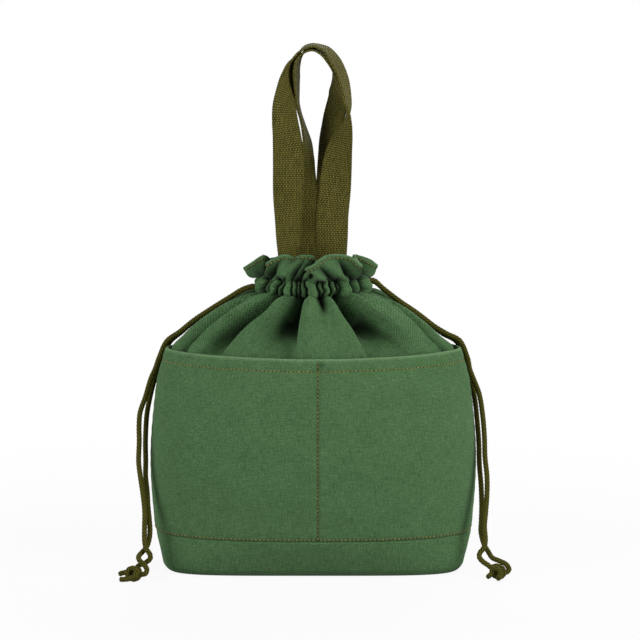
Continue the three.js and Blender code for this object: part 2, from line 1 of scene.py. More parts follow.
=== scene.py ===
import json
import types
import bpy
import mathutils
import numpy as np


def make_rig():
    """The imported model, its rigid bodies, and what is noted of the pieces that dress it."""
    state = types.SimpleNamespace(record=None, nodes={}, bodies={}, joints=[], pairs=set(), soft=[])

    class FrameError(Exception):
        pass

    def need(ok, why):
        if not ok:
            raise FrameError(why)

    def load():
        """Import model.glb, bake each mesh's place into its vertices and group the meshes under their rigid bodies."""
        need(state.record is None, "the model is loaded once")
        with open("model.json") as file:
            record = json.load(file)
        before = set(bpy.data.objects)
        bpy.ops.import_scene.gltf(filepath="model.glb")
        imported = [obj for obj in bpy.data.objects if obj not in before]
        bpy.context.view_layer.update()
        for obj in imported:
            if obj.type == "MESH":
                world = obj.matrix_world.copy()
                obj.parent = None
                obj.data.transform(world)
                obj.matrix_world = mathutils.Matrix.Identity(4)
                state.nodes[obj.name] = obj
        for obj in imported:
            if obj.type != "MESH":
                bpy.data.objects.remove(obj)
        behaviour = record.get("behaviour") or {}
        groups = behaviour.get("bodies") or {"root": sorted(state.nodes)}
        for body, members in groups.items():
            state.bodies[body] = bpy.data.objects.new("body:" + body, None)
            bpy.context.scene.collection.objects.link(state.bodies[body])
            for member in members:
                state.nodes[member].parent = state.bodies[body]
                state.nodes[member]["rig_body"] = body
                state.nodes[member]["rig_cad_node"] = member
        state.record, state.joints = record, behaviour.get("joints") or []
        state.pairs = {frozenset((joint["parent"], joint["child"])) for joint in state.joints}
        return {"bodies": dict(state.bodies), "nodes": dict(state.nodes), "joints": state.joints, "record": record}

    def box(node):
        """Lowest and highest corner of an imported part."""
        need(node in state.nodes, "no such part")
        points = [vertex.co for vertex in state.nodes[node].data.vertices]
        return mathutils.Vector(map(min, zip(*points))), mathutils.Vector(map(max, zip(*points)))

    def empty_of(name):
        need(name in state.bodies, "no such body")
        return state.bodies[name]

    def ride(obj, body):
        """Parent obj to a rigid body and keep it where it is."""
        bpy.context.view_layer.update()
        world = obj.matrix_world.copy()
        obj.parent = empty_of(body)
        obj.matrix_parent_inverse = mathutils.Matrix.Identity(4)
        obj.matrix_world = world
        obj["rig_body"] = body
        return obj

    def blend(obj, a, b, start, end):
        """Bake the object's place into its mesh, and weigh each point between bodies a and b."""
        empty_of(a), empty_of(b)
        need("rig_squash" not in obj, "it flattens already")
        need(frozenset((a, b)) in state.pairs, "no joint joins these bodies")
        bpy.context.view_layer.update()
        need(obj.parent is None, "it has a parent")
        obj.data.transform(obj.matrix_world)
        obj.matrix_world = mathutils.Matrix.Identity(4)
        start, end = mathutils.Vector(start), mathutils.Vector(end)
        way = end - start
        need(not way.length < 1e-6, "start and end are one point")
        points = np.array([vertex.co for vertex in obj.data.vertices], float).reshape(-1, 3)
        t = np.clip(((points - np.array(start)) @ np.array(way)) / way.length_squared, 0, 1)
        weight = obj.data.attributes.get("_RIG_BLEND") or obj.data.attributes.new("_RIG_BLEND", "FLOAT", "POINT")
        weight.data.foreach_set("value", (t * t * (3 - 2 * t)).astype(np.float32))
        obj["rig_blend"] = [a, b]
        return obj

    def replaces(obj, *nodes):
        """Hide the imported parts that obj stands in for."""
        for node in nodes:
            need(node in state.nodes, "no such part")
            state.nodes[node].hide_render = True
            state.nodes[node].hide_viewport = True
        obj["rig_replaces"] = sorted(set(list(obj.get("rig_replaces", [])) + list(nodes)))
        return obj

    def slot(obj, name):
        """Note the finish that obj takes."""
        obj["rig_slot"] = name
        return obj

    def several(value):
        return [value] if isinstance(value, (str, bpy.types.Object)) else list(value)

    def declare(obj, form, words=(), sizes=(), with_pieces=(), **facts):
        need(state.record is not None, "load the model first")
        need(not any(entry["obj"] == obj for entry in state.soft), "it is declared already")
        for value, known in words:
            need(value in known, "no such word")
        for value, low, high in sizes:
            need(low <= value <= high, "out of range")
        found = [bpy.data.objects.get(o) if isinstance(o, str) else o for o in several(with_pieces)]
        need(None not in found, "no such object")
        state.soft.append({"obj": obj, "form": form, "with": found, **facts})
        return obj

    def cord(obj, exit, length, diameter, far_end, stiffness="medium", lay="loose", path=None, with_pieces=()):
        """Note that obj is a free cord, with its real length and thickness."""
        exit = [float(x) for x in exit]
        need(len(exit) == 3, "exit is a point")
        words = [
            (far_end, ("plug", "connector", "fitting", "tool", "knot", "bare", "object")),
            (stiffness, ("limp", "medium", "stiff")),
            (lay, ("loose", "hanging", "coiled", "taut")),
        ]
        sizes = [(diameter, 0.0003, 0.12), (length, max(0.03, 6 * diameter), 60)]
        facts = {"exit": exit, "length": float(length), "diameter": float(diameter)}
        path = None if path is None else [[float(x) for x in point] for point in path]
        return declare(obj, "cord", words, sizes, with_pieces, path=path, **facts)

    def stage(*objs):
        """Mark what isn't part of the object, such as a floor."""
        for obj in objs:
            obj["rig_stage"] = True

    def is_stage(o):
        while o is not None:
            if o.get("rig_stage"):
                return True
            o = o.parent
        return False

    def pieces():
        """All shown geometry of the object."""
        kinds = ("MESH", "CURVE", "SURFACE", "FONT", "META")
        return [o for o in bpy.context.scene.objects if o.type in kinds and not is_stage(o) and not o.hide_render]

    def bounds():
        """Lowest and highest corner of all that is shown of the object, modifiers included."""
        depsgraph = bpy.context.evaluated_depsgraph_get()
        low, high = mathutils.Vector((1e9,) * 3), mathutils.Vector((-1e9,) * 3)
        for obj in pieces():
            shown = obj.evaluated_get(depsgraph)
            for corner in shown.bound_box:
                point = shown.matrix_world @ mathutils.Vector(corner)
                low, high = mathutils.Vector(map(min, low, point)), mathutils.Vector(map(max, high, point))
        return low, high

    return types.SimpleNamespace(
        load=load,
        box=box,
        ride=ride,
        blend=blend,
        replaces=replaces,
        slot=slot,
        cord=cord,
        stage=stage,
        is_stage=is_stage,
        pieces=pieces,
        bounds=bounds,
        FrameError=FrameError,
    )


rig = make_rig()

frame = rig.load()

import functools
import json
import math

import bmesh
import bpy
from mathutils import Matrix, Vector, noise

# A gathered lunch bag of woven canvas with two webbing loops and two draw cords.
# Shapes are worked out in millimetres and become metres when a mesh is made.

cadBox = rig.bounds()
mm = 0.001

# the photograph's view: a long lens from a little above
view = {
    "lens": 210.94,
    "sensor": 36,
    "distance": 3000,
    "tilt": 9.3,
    "aim": (5.4, 0, 199.3),
}


def makeCamera():
    data = bpy.data.cameras.new("photoCamera")
    data.lens = view["lens"]
    data.sensor_width = view["sensor"]
    data.sensor_fit = "HORIZONTAL"
    data.clip_end = 20
    camera = bpy.data.objects.new("photoCamera", data)
    tilt = math.radians(view["tilt"])
    back = Vector((0, -math.cos(tilt), math.sin(tilt))) * view["distance"]
    camera.location = (Vector(view["aim"]) + back) * mm
    camera.rotation_euler = (math.pi / 2 - tilt, 0, 0)
    bpy.context.scene.collection.objects.link(camera)
    bpy.context.scene.camera = camera


# soft studio light: place in metres, size, strength in watts
lamps = {
    "leftSoftbox": {"place": (-1.75, -1.1, 0.75), "size": 1.6, "watts": 31},
    "rightSoftbox": {"place": (1.75, -1.1, 0.75), "size": 1.6, "watts": 39},
    "topSoftbox": {"place": (0.1, -0.3, 1.9), "size": 0.9, "watts": 4},
    "backSoftbox": {"place": (0.3, 1.7, 1.0), "size": 1.2, "watts": 22},
}
lampAim = (0, 0, 0.16)
skyStrength = 0.04


def makeLights():
    for name, lamp in lamps.items():
        data = bpy.data.lights.new(name, "AREA")
        data.shape = "SQUARE"
        data.size = lamp["size"]
        data.energy = lamp["watts"]
        light = bpy.data.objects.new(name, data)
        light.location = lamp["place"]
        aim = Vector(lampAim) - light.location
        light.rotation_euler = aim.to_track_quat("-Z", "Y").to_euler()
        bpy.context.scene.collection.objects.link(light)


def addNode(tree, kind, parts=()):
    # A node with its settings and links. A second word in its kind is its operation. Parts go to its
    # sockets in order, or by name to sockets and properties; nodes and sockets feed it, values set it.
    kind, _, operation = kind.partition(" ")
    node = tree.nodes.new("ShaderNode" + kind)
    if operation:
        node.operation = operation
    for key, part in parts.items() if isinstance(parts, dict) else enumerate(parts):
        if isinstance(part, bpy.types.Node):
            part = part.outputs[0]
        if isinstance(part, bpy.types.NodeSocket):
            tree.links.new(part, node.inputs[key])
        elif isinstance(key, int) or key in node.inputs:
            node.inputs[key].default_value = part
        else:
            setattr(node, key, part)
    return node


def emptyTree(owner):
    owner.use_nodes = True
    owner.node_tree.nodes.clear()
    return owner.node_tree


def newMaterial(name):
    material = bpy.data.materials.new(name)
    return material, emptyTree(material)


def seenBy(tree, *rays):
    # 1 for these kinds of ray, which see a pale background as it is, and 0 for the rest
    path = addNode(tree, "LightPath")
    seen = path.outputs["Is " + rays[0] + " Ray"]
    for ray in rays[1:]:
        seen = addNode(tree, "Math MAXIMUM", [seen, path.outputs["Is " + ray + " Ray"]])
    return seen


def makeWorld():
    world = bpy.data.worlds.new("paleStudio")
    bpy.context.scene.world = world
    tree = emptyTree(world)
    seen = seenBy(tree, "Camera", "Glossy", "Transmission")
    strength = addNode(tree, "MapRange", {"Value": seen, "To Min": skyStrength, "To Max": 1.0})
    sky = addNode(tree, "Background", {"Color": (1, 1, 1, 1), "Strength": strength})
    addNode(tree, "OutputWorld", {"Surface": sky})


# the photograph's floor is lit out to white: a soft part of the shadow is let through near the bag
floorPlan = {
    "size": 60, "whiteness": 0.92, "nearRadius": 0.25, "farRadius": 0.6, "seen": 0.9, "bounced": 0.3,
}


def linearColour(code):
    # sRGB hex to linear light
    parts = [int(code[k:k + 2], 16) / 255 for k in (0, 2, 4)]
    return tuple(p / 12.92 if p <= 0.04045 else ((p + 0.055) / 1.055) ** 2.4 for p in parts) + (1.0,)


def makeFloor():
    bm = bmesh.new()
    bmesh.ops.create_grid(bm, x_segments=1, y_segments=1, size=floorPlan["size"] / 2)
    mesh = bpy.data.meshes.new("studioFloor")
    bm.to_mesh(mesh)
    bm.free()
    floor = bpy.data.objects.new("studioFloor", mesh)
    bpy.context.scene.collection.objects.link(floor)
    material, tree = newMaterial("matt white paper")
    seen = seenBy(tree, "Camera", "Glossy")
    place = addNode(tree, "TexCoord")
    away = addNode(tree, "VectorMath LENGTH", [place.outputs["Object"]])
    white = addNode(tree, "MapRange", {
        "Value": away.outputs["Value"], "From Min": floorPlan["nearRadius"],
        "From Max": floorPlan["farRadius"], "To Min": floorPlan["whiteness"], "To Max": 1.0,
    })
    share = addNode(tree, "Math MULTIPLY", [seen, white])
    # little light comes back up from the paper, so the cloth's folds keep their dark
    paleness = addNode(tree, "MapRange", {
        "Value": seen, "To Min": floorPlan["bounced"], "To Max": floorPlan["seen"],
    })
    paper = addNode(tree, "BsdfDiffuse", {"Color": paleness})
    light = addNode(tree, "Emission", {"Color": (1, 1, 1, 1), "Strength": 1.0})
    both = addNode(tree, "MixShader", [share, paper, light])
    addNode(tree, "OutputMaterial", {"Surface": both})
    mesh.materials.append(material)
    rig.stage(floor)


makeCamera()
makeLights()
makeWorld()
makeFloor()
print("camera, light and floor are set")


# small sums used by every piece
def clamp(value, low=0.0, high=1.0):
    return max(low, min(high, value))


def blend(a, b, share):
    return a + (b - a) * share


def ease(share):
    share = clamp(share)
    return share * share * (3 - 2 * share)


def swell(distance, width):
    return math.exp(-(distance / width) ** 2)


def uneven(*place):
    # smooth noise between about -1 and 1
    return noise.noise(Vector(place))


def drift(place, pitch, seed=0.0):
    # slow unevenness between about -1 and 1, one wave to each pitch of millimetres
    return uneven(*(Vector(place) / pitch + Vector((seed, seed * 0.7, -seed))))


def smoothRow(rows, at):
    # a curve through rows of values that never overshoots, read at one place of the first column
    last = len(rows) - 1
    k = 0
    while k < last - 1 and at > rows[k + 1][0]:
        k += 1
    span = rows[k + 1][0] - rows[k][0]
    t = clamp((at - rows[k][0]) / span)
    values = []
    for column in range(1, len(rows[0])):
        def rise(row):
            return (rows[row + 1][column] - rows[row][column]) / (rows[row + 1][0] - rows[row][0])

        def slope(row):
            if row == 0:
                return rise(0)
            if row == last:
                return rise(last - 1)
            before, after = rise(row - 1), rise(row)
            return 0 if before * after <= 0 else 2 * before * after / (before + after)

        here, there = rows[k][column], rows[k + 1][column]
        leave, arrive = slope(k) * span, slope(k + 1) * span
        values.append((2 * t ** 3 - 3 * t ** 2 + 1) * here + (t ** 3 - 2 * t ** 2 + t) * leave
                      + (3 * t ** 2 - 2 * t ** 3) * there + (t ** 3 - t ** 2) * arrive)
    return values


def curvePoint(points, at):
    # a point on the smooth curve through the points, at 0 to 1 of its knots
    last = len(points) - 1
    place = clamp(at) * last
    k = min(last - 1, int(place))
    t = place - k
    p1, p2 = Vector(points[k]), Vector(points[k + 1])
    p0 = Vector(points[k - 1]) if k > 0 else p1 * 2 - p2
    p3 = Vector(points[k + 2]) if k < last - 1 else p2 * 2 - p1
    return (p1 * 2 + (p2 - p0) * t + (p0 * 2 - p1 * 5 + p2 * 4 - p3) * t ** 2
            + (p1 * 3 - p0 - p2 * 3 + p3) * t ** 3) / 2


def travelled(points):
    # how far along a line of points each of them is
    lengths = [0.0]
    for a, b in zip(points, points[1:]):
        lengths.append(lengths[-1] + (b.xyz - a.xyz).length)
    return lengths


def evenSteps(lengths, targets):
    # for each rising target, the stretch of the line that it falls in and how far into it
    k = 0
    for target in targets:
        while k < len(lengths) - 2 and lengths[k + 1] < target:
            k += 1
        yield k, clamp((target - lengths[k]) / max(1e-9, lengths[k + 1] - lengths[k]))


def evenCurve(points, count, samples=12):
    # count + 1 places evenly spaced along the smooth curve through the points, and its length
    knots = samples * (len(points) - 1)
    fine = [curvePoint(points, k / knots) for k in range(knots + 1)]
    lengths = travelled(fine)
    steps = evenSteps(lengths, (lengths[-1] * step / count for step in range(count + 1)))
    return [fine[k].lerp(fine[k + 1], share) for k, share in steps], lengths[-1]


def rolledSheet(columns, rows, place, joined=False, capped=False, mark=None):
    # a grid laid out by place(column, row), which gives a point, its thread coordinates in mm
    # and, for a named mark, the mark's value there
    bm = bmesh.new()
    bmesh.ops.create_grid(bm, x_segments=columns, y_segments=rows, size=0.5)
    threads = bm.loops.layers.uv.new("threads")
    marks = bm.verts.layers.float.new(mark) if mark else None
    spots = {}
    for vert in bm.verts:
        column = round((vert.co.x + 0.5) * columns)
        row = round((vert.co.y + 0.5) * rows)
        spots[vert] = place(column, row)
    for face in bm.faces:
        face.smooth = True
        for loop in face.loops:
            loop[threads].uv = spots[loop.vert][1]
    for vert, spot in spots.items():
        vert.co = Vector(spot[0]) * mm
        if marks:
            vert[marks] = spot[2]
    if joined:
        bmesh.ops.remove_doubles(bm, verts=bm.verts, dist=0.002 * mm)
    if capped:
        edges = [edge for edge in bm.edges if edge.is_boundary]
        bmesh.ops.holes_fill(bm, edges=edges, sides=0)
    bmesh.ops.recalc_face_normals(bm, faces=bm.faces)
    return bm


def addPiece(name, bm, material, body, slot, nodes=()):
    mesh = bpy.data.meshes.new(name)
    bm.to_mesh(mesh)
    bm.free()
    mesh.materials.append(material)
    piece = bpy.data.objects.new(name, mesh)
    bpy.context.scene.collection.objects.link(piece)
    if body:
        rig.ride(piece, body)
    if nodes:
        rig.replaces(piece, *nodes)
    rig.slot(piece, slot)
    return piece


def thicken(piece, thickness, offset=-1, weights=None):
    # a wall on the inner side of an open sheet
    outward = sum(face.normal.dot(Vector((face.center.x, face.center.y, 0))) * face.area
                  for face in piece.data.polygons)
    if outward < 0:
        piece.data.flip_normals()
    wallMaker = piece.modifiers.new("cloth", "SOLIDIFY")
    wallMaker.thickness = thickness * mm
    wallMaker.offset = offset
    wallMaker.use_rim = True
    if weights:
        wallMaker.vertex_group = weights
        wallMaker.thickness_vertex_group = 0.5


# Materials
def threadAxes(tree):
    cloth = addNode(tree, "UVMap", {"uv_map": "threads"})
    split = addNode(tree, "SeparateXYZ", [cloth])
    return cloth, split.outputs[0], split.outputs[1]


def yarnWave(tree, way, pitch):
    # rises and falls once for each pair of yarns, a pitch in mm apart
    return addNode(tree, "Math SINE", [addNode(tree, "Math MULTIPLY", [way, math.pi / pitch])])


def streaks(tree, threads, across, along, detail=2.0):
    # uneven yarn: noise drawn out along one thread direction; across and along are lengths in mm
    stretched = addNode(tree, "VectorMath MULTIPLY", [threads, (1 / across, 1 / along, 0)])
    return addNode(tree, "TexNoise",
                   {"Vector": stretched, "Scale": 1.0, "Detail": detail, "Roughness": 0.6})


def setTones(ramp, *stops):
    # a ramp's colours from dark to pale; each stop is a place and an sRGB hex colour
    elements = ramp.color_ramp.elements
    for element, (place, colour) in zip(elements, (stops[0], stops[-1])):
        element.position = place
        element.color = linearColour(colour)
    for place, colour in stops[1:-1]:
        elements.new(place).color = linearColour(colour)
    return ramp


def surface(tree, colour, finish, relief=None, strength=0.0, deep=0.0):
    # deep is the relief's real depth in mm
    parts = {"Base Color": colour, **finish}
    if relief:
        parts["Normal"] = addNode(tree, "Bump",
                                  {"Height": relief, "Strength": strength, "Distance": deep * mm})
    addNode(tree, "OutputMaterial", {"Surface": addNode(tree, "BsdfPrincipled", parts)})


def clothMaterial(name, colour, shade, light, pitch):
    # Piece-dyed cotton canvas, plain weave. Matt, with a soft bloom at grazing light, darker between
    # the yarns and paler where a thick yarn comes up. Yarns are 0.6 mm apart and drawn coarser, at the
    # pitch, so that the fine diagonal dots of the weave can be seen from a distance.
    material, tree = newMaterial(name)
    threads, across, along = threadAxes(tree)
    over = addNode(tree, "Math MULTIPLY", [yarnWave(tree, across, pitch), yarnWave(tree, along, pitch)])
    crown = addNode(tree, "Math ABSOLUTE", [over])
    warpYarn = streaks(tree, threads, 1.0, 7)
    weftYarn = streaks(tree, threads, 7, 1.0)
    cloud = streaks(tree, threads, 20, 20, 3.0)
    grain = streaks(tree, threads, 1.1, 1.1, 1.0)
    # painted shade in the folds is marked above 0, and a painted highlight along sharp folded edges below 0
    paintedShading = addNode(tree, "Attribute", {"attribute_name": "paintedShading"}).outputs["Fac"]
    paintedEdgeHighlight = addNode(tree, "Math MINIMUM", [paintedShading, 0.0])
    deep = addNode(tree, "Math MULTIPLY", [addNode(tree, "Math MAXIMUM", [paintedShading, 0.0]), 0.92])
    tone = -0.22
    for part, weight in ((crown, 0.2), (warpYarn, 0.38), (weftYarn, 0.36), (cloud, 0.14), (grain, 0.44),
                         (over, 0.14), (paintedEdgeHighlight, -0.35)):
        tone = addNode(tree, "Math MULTIPLY_ADD", [part, weight, tone])
    ramp = setTones(addNode(tree, "ValToRGB", [tone]), (0.18, shade), (0.5, colour), (0.86, light))
    # painted shade: a deeper tone down in the folds, where hardly any light comes back from the cloth
    toned = addNode(tree, "Mix", {"data_type": "RGBA", 0: deep, 6: ramp, 7: linearColour("071206")})
    relief = addNode(tree, "Math MULTIPLY", [warpYarn, 0.8])
    for part, weight in ((crown, 0.5), (weftYarn, 0.7)):
        relief = addNode(tree, "Math MULTIPLY_ADD", [part, weight, relief])
    matt = {"Roughness": 0.92, "Specular IOR Level": 0.1, "Sheen Weight": 0.08, "Sheen Roughness": 0.5}
    surface(tree, toned.outputs[2], matt, relief, 0.55, 0.35)
    return material


def webbingMaterial(name):
    # Heavy cotton webbing in a coarse plain weave: rounded warp yarns 1.25 mm wide come up between
    # picks 1.7 mm apart, so lit crowns stand in dark gaps and the edges look beaded.
    material, tree = newMaterial(name)
    threads, across, along = threadAxes(tree)
    over = addNode(tree, "Math MULTIPLY", [yarnWave(tree, across, 1.25), yarnWave(tree, along, 1.7)])
    crown = addNode(tree, "Math POWER", [addNode(tree, "Math ABSOLUTE", [over]), 0.6])
    raised = addNode(tree, "Math MULTIPLY_ADD", [over, 0.5, 0.5])
    yarn = streaks(tree, threads, 1.2, 9)
    cloud = streaks(tree, threads, 14, 30, 3.0)
    tone = addNode(tree, "Math MULTIPLY", [crown, addNode(tree, "Math MULTIPLY_ADD", [raised, 0.5, 0.4])])
    for part, weight in ((yarn, 0.5), (cloud, 0.2)):
        tone = addNode(tree, "Math MULTIPLY_ADD", [part, weight, tone])
    tone = addNode(tree, "Math MULTIPLY_ADD", [tone, 0.9, -0.12])
    ramp = setTones(addNode(tree, "ValToRGB", [tone]), (0.28, "1D1B07"), (0.5, "55511F"), (0.84, "847E3C"))
    relief = addNode(tree, "Math MULTIPLY", [crown, addNode(tree, "Math MULTIPLY_ADD", [raised, 0.7, 0.3])])
    surface(tree, ramp, {"Roughness": 0.88, "Specular IOR Level": 0.14}, relief, 0.9, 0.45)
    return material


def cordMaterial(name, dark, middleTone, pale):
    # Braided cotton cord, softly shining along each plait; thread coordinates give the way round
    # and along, so single yarns 0.45 mm wide run with the plaits.
    material, tree = newMaterial(name)
    threads, across, along = threadAxes(tree)
    yarn = yarnWave(tree, addNode(tree, "Math ADD", [across, along]), 0.45)
    fuzz = streaks(tree, threads, 0.7, 1.6)
    height = addNode(tree, "Attribute", {"attribute_name": "plait"}).outputs["Fac"]
    tone = addNode(tree, "Math MULTIPLY", [height, 0.75])
    for part, weight in ((yarn, 0.07), (fuzz, 0.35)):
        tone = addNode(tree, "Math MULTIPLY_ADD", [part, weight, tone])
    ramp = setTones(addNode(tree, "ValToRGB", [tone]), (0.1, dark), (0.55, middleTone), (0.95, pale))
    surface(tree, ramp, {"Roughness": 0.8, "Specular IOR Level": 0.15}, yarn, 0.5, 0.15)
    return material


def threadMaterial(name, dark, pale):
    # Twisted polyester sewing thread, olive gold with a slight shine; stitches differ a little in tone.
    material, tree = newMaterial(name)
    place = addNode(tree, "TexCoord")
    speckle = addNode(tree, "TexNoise", {"Vector": place.outputs["Object"], "Scale": 420.0, "Detail": 1.0})
    ramp = setTones(addNode(tree, "ValToRGB", [speckle]), (0.3, dark), (0.7, pale))
    surface(tree, ramp, {"Roughness": 0.55, "Specular IOR Level": 0.4})
    return material


canvas = clothMaterial("green cotton canvas", "4C7046", "233F1E", "74966A", 0.98)
webbing = webbingMaterial("olive cotton webbing")
braid = cordMaterial("olive braided cotton cord", "15150A", "45430F", "7E7A2A")
sewingThread = threadMaterial("olive gold sewing thread", "5C5618", "948B3A")
# near-black capsules between the stitches: painted shade where the thread goes down into its needle holes
needleHoleShade = threadMaterial("painted shade of sewing thread in its needle hole", "0B0C03", "1A1A08")
print("materials are mixed")


# Draw cords. Each free strand runs from the tunnel over the shoulder and the pocket hem,
# down beside the wall and forward to its knot.
cordPlan = {
    "diameter": 3.6, "softDiameter": 4.3, "sides": 30, "step": 0.45,
    "relief": 0.1, "lay": 2.9, "plaits": 5, "tuck": 3,
}
strandRoutes = {
    "left_cord_front": [
        (-45.9, -2.3, 226.3), (-50.5, -2.3, 226), (-59.4, -2, 222.4), (-69.8, -1, 216), (-82, 1, 208),
        (-95.5, 3.5, 198.6), (-106.8, 6, 189), (-117.6, 7.5, 180.8), (-123.6, 7, 168), (-126.8, 5, 159),
        (-130.6, 2.5, 150.5), (-134.6, -3, 137.2), (-138.6, -8, 126), (-139.4, -13, 115.5),
        (-139.1, -18, 103.4), (-139.4, -24, 89.2), (-138, -28, 77.8), (-135.8, -33, 64.6),
        (-134.2, -38, 51.4), (-134.2, -43, 38.7), (-134, -47.5, 29), (-132.6, -50.5, 23.4),
        (-129.8, -51.6, 19.4), (-129.6, -51.6, 15.6), (-133, -51.8, 12.6), (-138, -54, 10.8),
        (-141.8, -59, 8),
    ],
    "left_cord_rear": [
        (-45.9, 2.3, 226.3), (-50.3, 2.6, 226), (-58.5, 4.6, 222.4), (-69, 6.8, 215), (-82, 8.5, 206.6),
        (-95.5, 10.2, 197.2), (-105.5, 11.8, 188), (-114.8, 12.6, 180), (-120.8, 12.6, 169),
        (-124.6, 11.6, 159), (-128.1, 8, 148), (-131.2, 4, 135.9), (-133.7, -2, 121.5), (-134.5, -9, 103.3),
        (-134.1, -16, 87.5), (-134, -22, 76.5), (-132.5, -27.5, 63.9), (-131.8, -32, 54),
        (-130.6, -36.6, 44), (-130, -39.8, 35.5), (-130.8, -42.2, 28.6), (-132.8, -44.3, 23.2),
        (-136.2, -47.6, 19.8), (-138.6, -52, 17.6), (-137.8, -56.8, 15.6), (-134.4, -59.6, 13),
        (-131.8, -62, 9.6), (-133, -64.4, 6.4), (-138.5, -64.6, 5.6),
    ],
    "right_cord_front": [
        (45.9, -2.3, 231.3), (50, -2.3, 230), (58, -2, 223.4), (70.2, -1, 213.9), (84.2, 1, 203.7),
        (97, 4, 193.6), (107, 6.3, 187.2), (117.8, 7.5, 181), (123.8, 7, 167.5), (125.7, 5, 158.5),
        (128.8, 2.5, 150.5), (133.3, -2, 138.7), (135.8, -8, 122.7), (137, -14, 106.7), (137.3, -20, 91.6),
        (138.7, -26, 77.3), (138.6, -31, 64.1), (137.5, -36, 51), (136.4, -40, 39.6), (137, -43.6, 29.6),
        (135.9, -45.6, 23.6), (132.6, -47, 19.2), (132.2, -49, 16), (135, -51.4, 13), (139, -53, 10.6),
        (143, -53.6, 7),
    ],
    "right_cord_rear": [
        (45.9, 2.3, 231.3), (49.8, 2.6, 230.2), (57, 4.6, 223), (68, 7, 214.2), (81, 9, 205.2),
        (93.2, 10.4, 195.6), (103.6, 11.8, 186.6), (114.9, 12.6, 180), (120.6, 12.6, 168.4),
        (123.9, 11.4, 158), (127.3, 8, 146), (129.9, 3, 133.7), (131.5, -2, 118.7), (132.7, -9, 101.6),
        (133, -16, 85.1), (134.2, -22, 69.2), (134.6, -28, 54.1), (134.2, -32.6, 43), (133.8, -36.4, 34.1),
        (136, -39.4, 25), (139.6, -42, 18.9), (142.6, -44.5, 14.8), (147.8, -47, 12.9),
        (153.3, -49.5, 10.6), (155.6, -51.5, 6.8), (152.8, -53.2, 4.8), (148, -53.5, 5),
    ],
}


def plaitHeight(around, along):
    # a braid of plaits going both ways round, each over one and under one; 0 in the gaps, 1 on top
    turns = cordPlan["plaits"] * around
    leftway = math.cos(2 * math.pi * (turns - along / cordPlan["lay"]))
    rightway = math.cos(2 * math.pi * (turns + along / cordPlan["lay"]))
    over = 0.5 + 0.5 * math.cos(4 * math.pi * turns)
    return 0.5 + 0.5 * max(leftway * over - (1 - over), rightway * (1 - over) - over)


def straightFrames(points):
    # directions across a cord that don't twist as it bends
    frames = []
    side = None
    for k, point in enumerate(points):
        ahead = points[min(k + 1, len(points) - 1)] - points[max(k - 1, 0)]
        ahead.normalize()
        if side is None:
            side = ahead.orthogonal()
        side = (side - ahead * side.dot(ahead)).normalized()
        frames.append((point, side, ahead.cross(side)))
    return frames


def cordTube(name, points, nodes=()):
    diameter, sides, relief = cordPlan["softDiameter"], cordPlan["sides"], cordPlan["relief"]
    count = round(evenCurve(points, 1)[1] / cordPlan["step"])
    centre, length = evenCurve(points, count)
    frames = straightFrames(centre)

    def place(column, row):
        around, along = row / sides, length * column / count
        height = plaitHeight(around, along)
        radius = diameter / 2 * (1 - relief * (1 - height))
        radius *= 1 - 0.25 * swell(min(along, length - along), 0.5)
        point, side, up = frames[column]
        turn = 2 * math.pi * around
        spot = point + side * math.cos(turn) * radius + up * math.sin(turn) * radius
        return spot, (around * math.pi * diameter, along), height

    bm = rolledSheet(count, sides, place, joined=True, capped=True, mark="plait")
    return addPiece(name, bm, braid, "bag", "cord", nodes), length


strands = {}
for name, route in strandRoutes.items():
    points = [Vector(place) for place in route]
    # the strand's end is hidden inside the tunnel's mouth
    inside = points[0] + (points[0] - points[1]).normalized() * cordPlan["tuck"]
    strand, length = cordTube(name + "_braid", [inside] + points, [name])
    strands[name] = (strand, [tuple(c * mm for c in place) for place in route], length)
    print(name, "is", round(length), "mm long")


# Outer wall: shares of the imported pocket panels' height, half width and half depth, and how
# boxy the section is there (2 is an oval)
pocketLow, pocketHigh = (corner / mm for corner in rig.box("front_pocket_panel"))
wall = {
    "hem": pocketHigh.z,
    "halfWidth": pocketHigh.x,
    "halfDepth": pocketHigh.y - pocketLow.y,
    "rowShares": [
        (0, 0.912, 0.752, 4.8), (0.18, 0.972, 0.932, 2.6), (0.479, 1, 1, 2.3),
        (0.834, 0.962, 0.955, 2.0), (1, 0.903, 0.877, 1.75),
    ],
}
wallRows = [(rise * wall["hem"], wide * wall["halfWidth"], deep * wall["halfDepth"], squareness)
            for rise, wide, deep, squareness in wall["rowShares"]]


@functools.lru_cache(None)
def wallRow(z):
    return smoothRow(wallRows, z)


def ringPlace(angle, halfWidth, halfDepth, squareness):
    # a point of a rounded section and the direction straight out of it
    c, s = math.cos(angle), math.sin(angle)
    reach = (abs(c) ** squareness + abs(s) ** squareness) ** (-1 / squareness)
    x, y = c * reach, s * reach
    out = Vector((math.copysign(abs(x) ** (squareness - 1), x) / halfWidth,
                  math.copysign(abs(y) ** (squareness - 1), y) / halfDepth, 0)).normalized()
    return Vector((x * halfWidth, y * halfDepth, 0)), out


def evenAngles(start, end, count, z):
    # angles that step evenly along the wall's section at one height, and how far along each is
    halfWidth, halfDepth, squareness = wallRow(z)
    fine = [blend(start, end, k / 2000) for k in range(2001)]
    lengths = travelled([ringPlace(angle, halfWidth, halfDepth, squareness)[0] for angle in fine])
    steps = evenSteps(lengths, (lengths[-1] * step / count for step in range(count + 1)))
    return [blend(fine[k], fine[k + 1], share) for k, share in steps], lengths[-1]


# Pocket cloths: hem turned in at the top, a stitched middle seam, lower edge lapped over the base
pocketPlan = {
    "cloth": 1.2, "hemTurn": 10.4, "hemThick": 2.7, "hemStitch": 9.6, "lowEdge": 31.4, "lowTurn": 8,
    "lowStitch": 1.5, "middleSeam": 3.6, "columns": 250, "faceRows": 92, "sag": 1.3,
}
sideName = {-1: "front", 1: "back"}


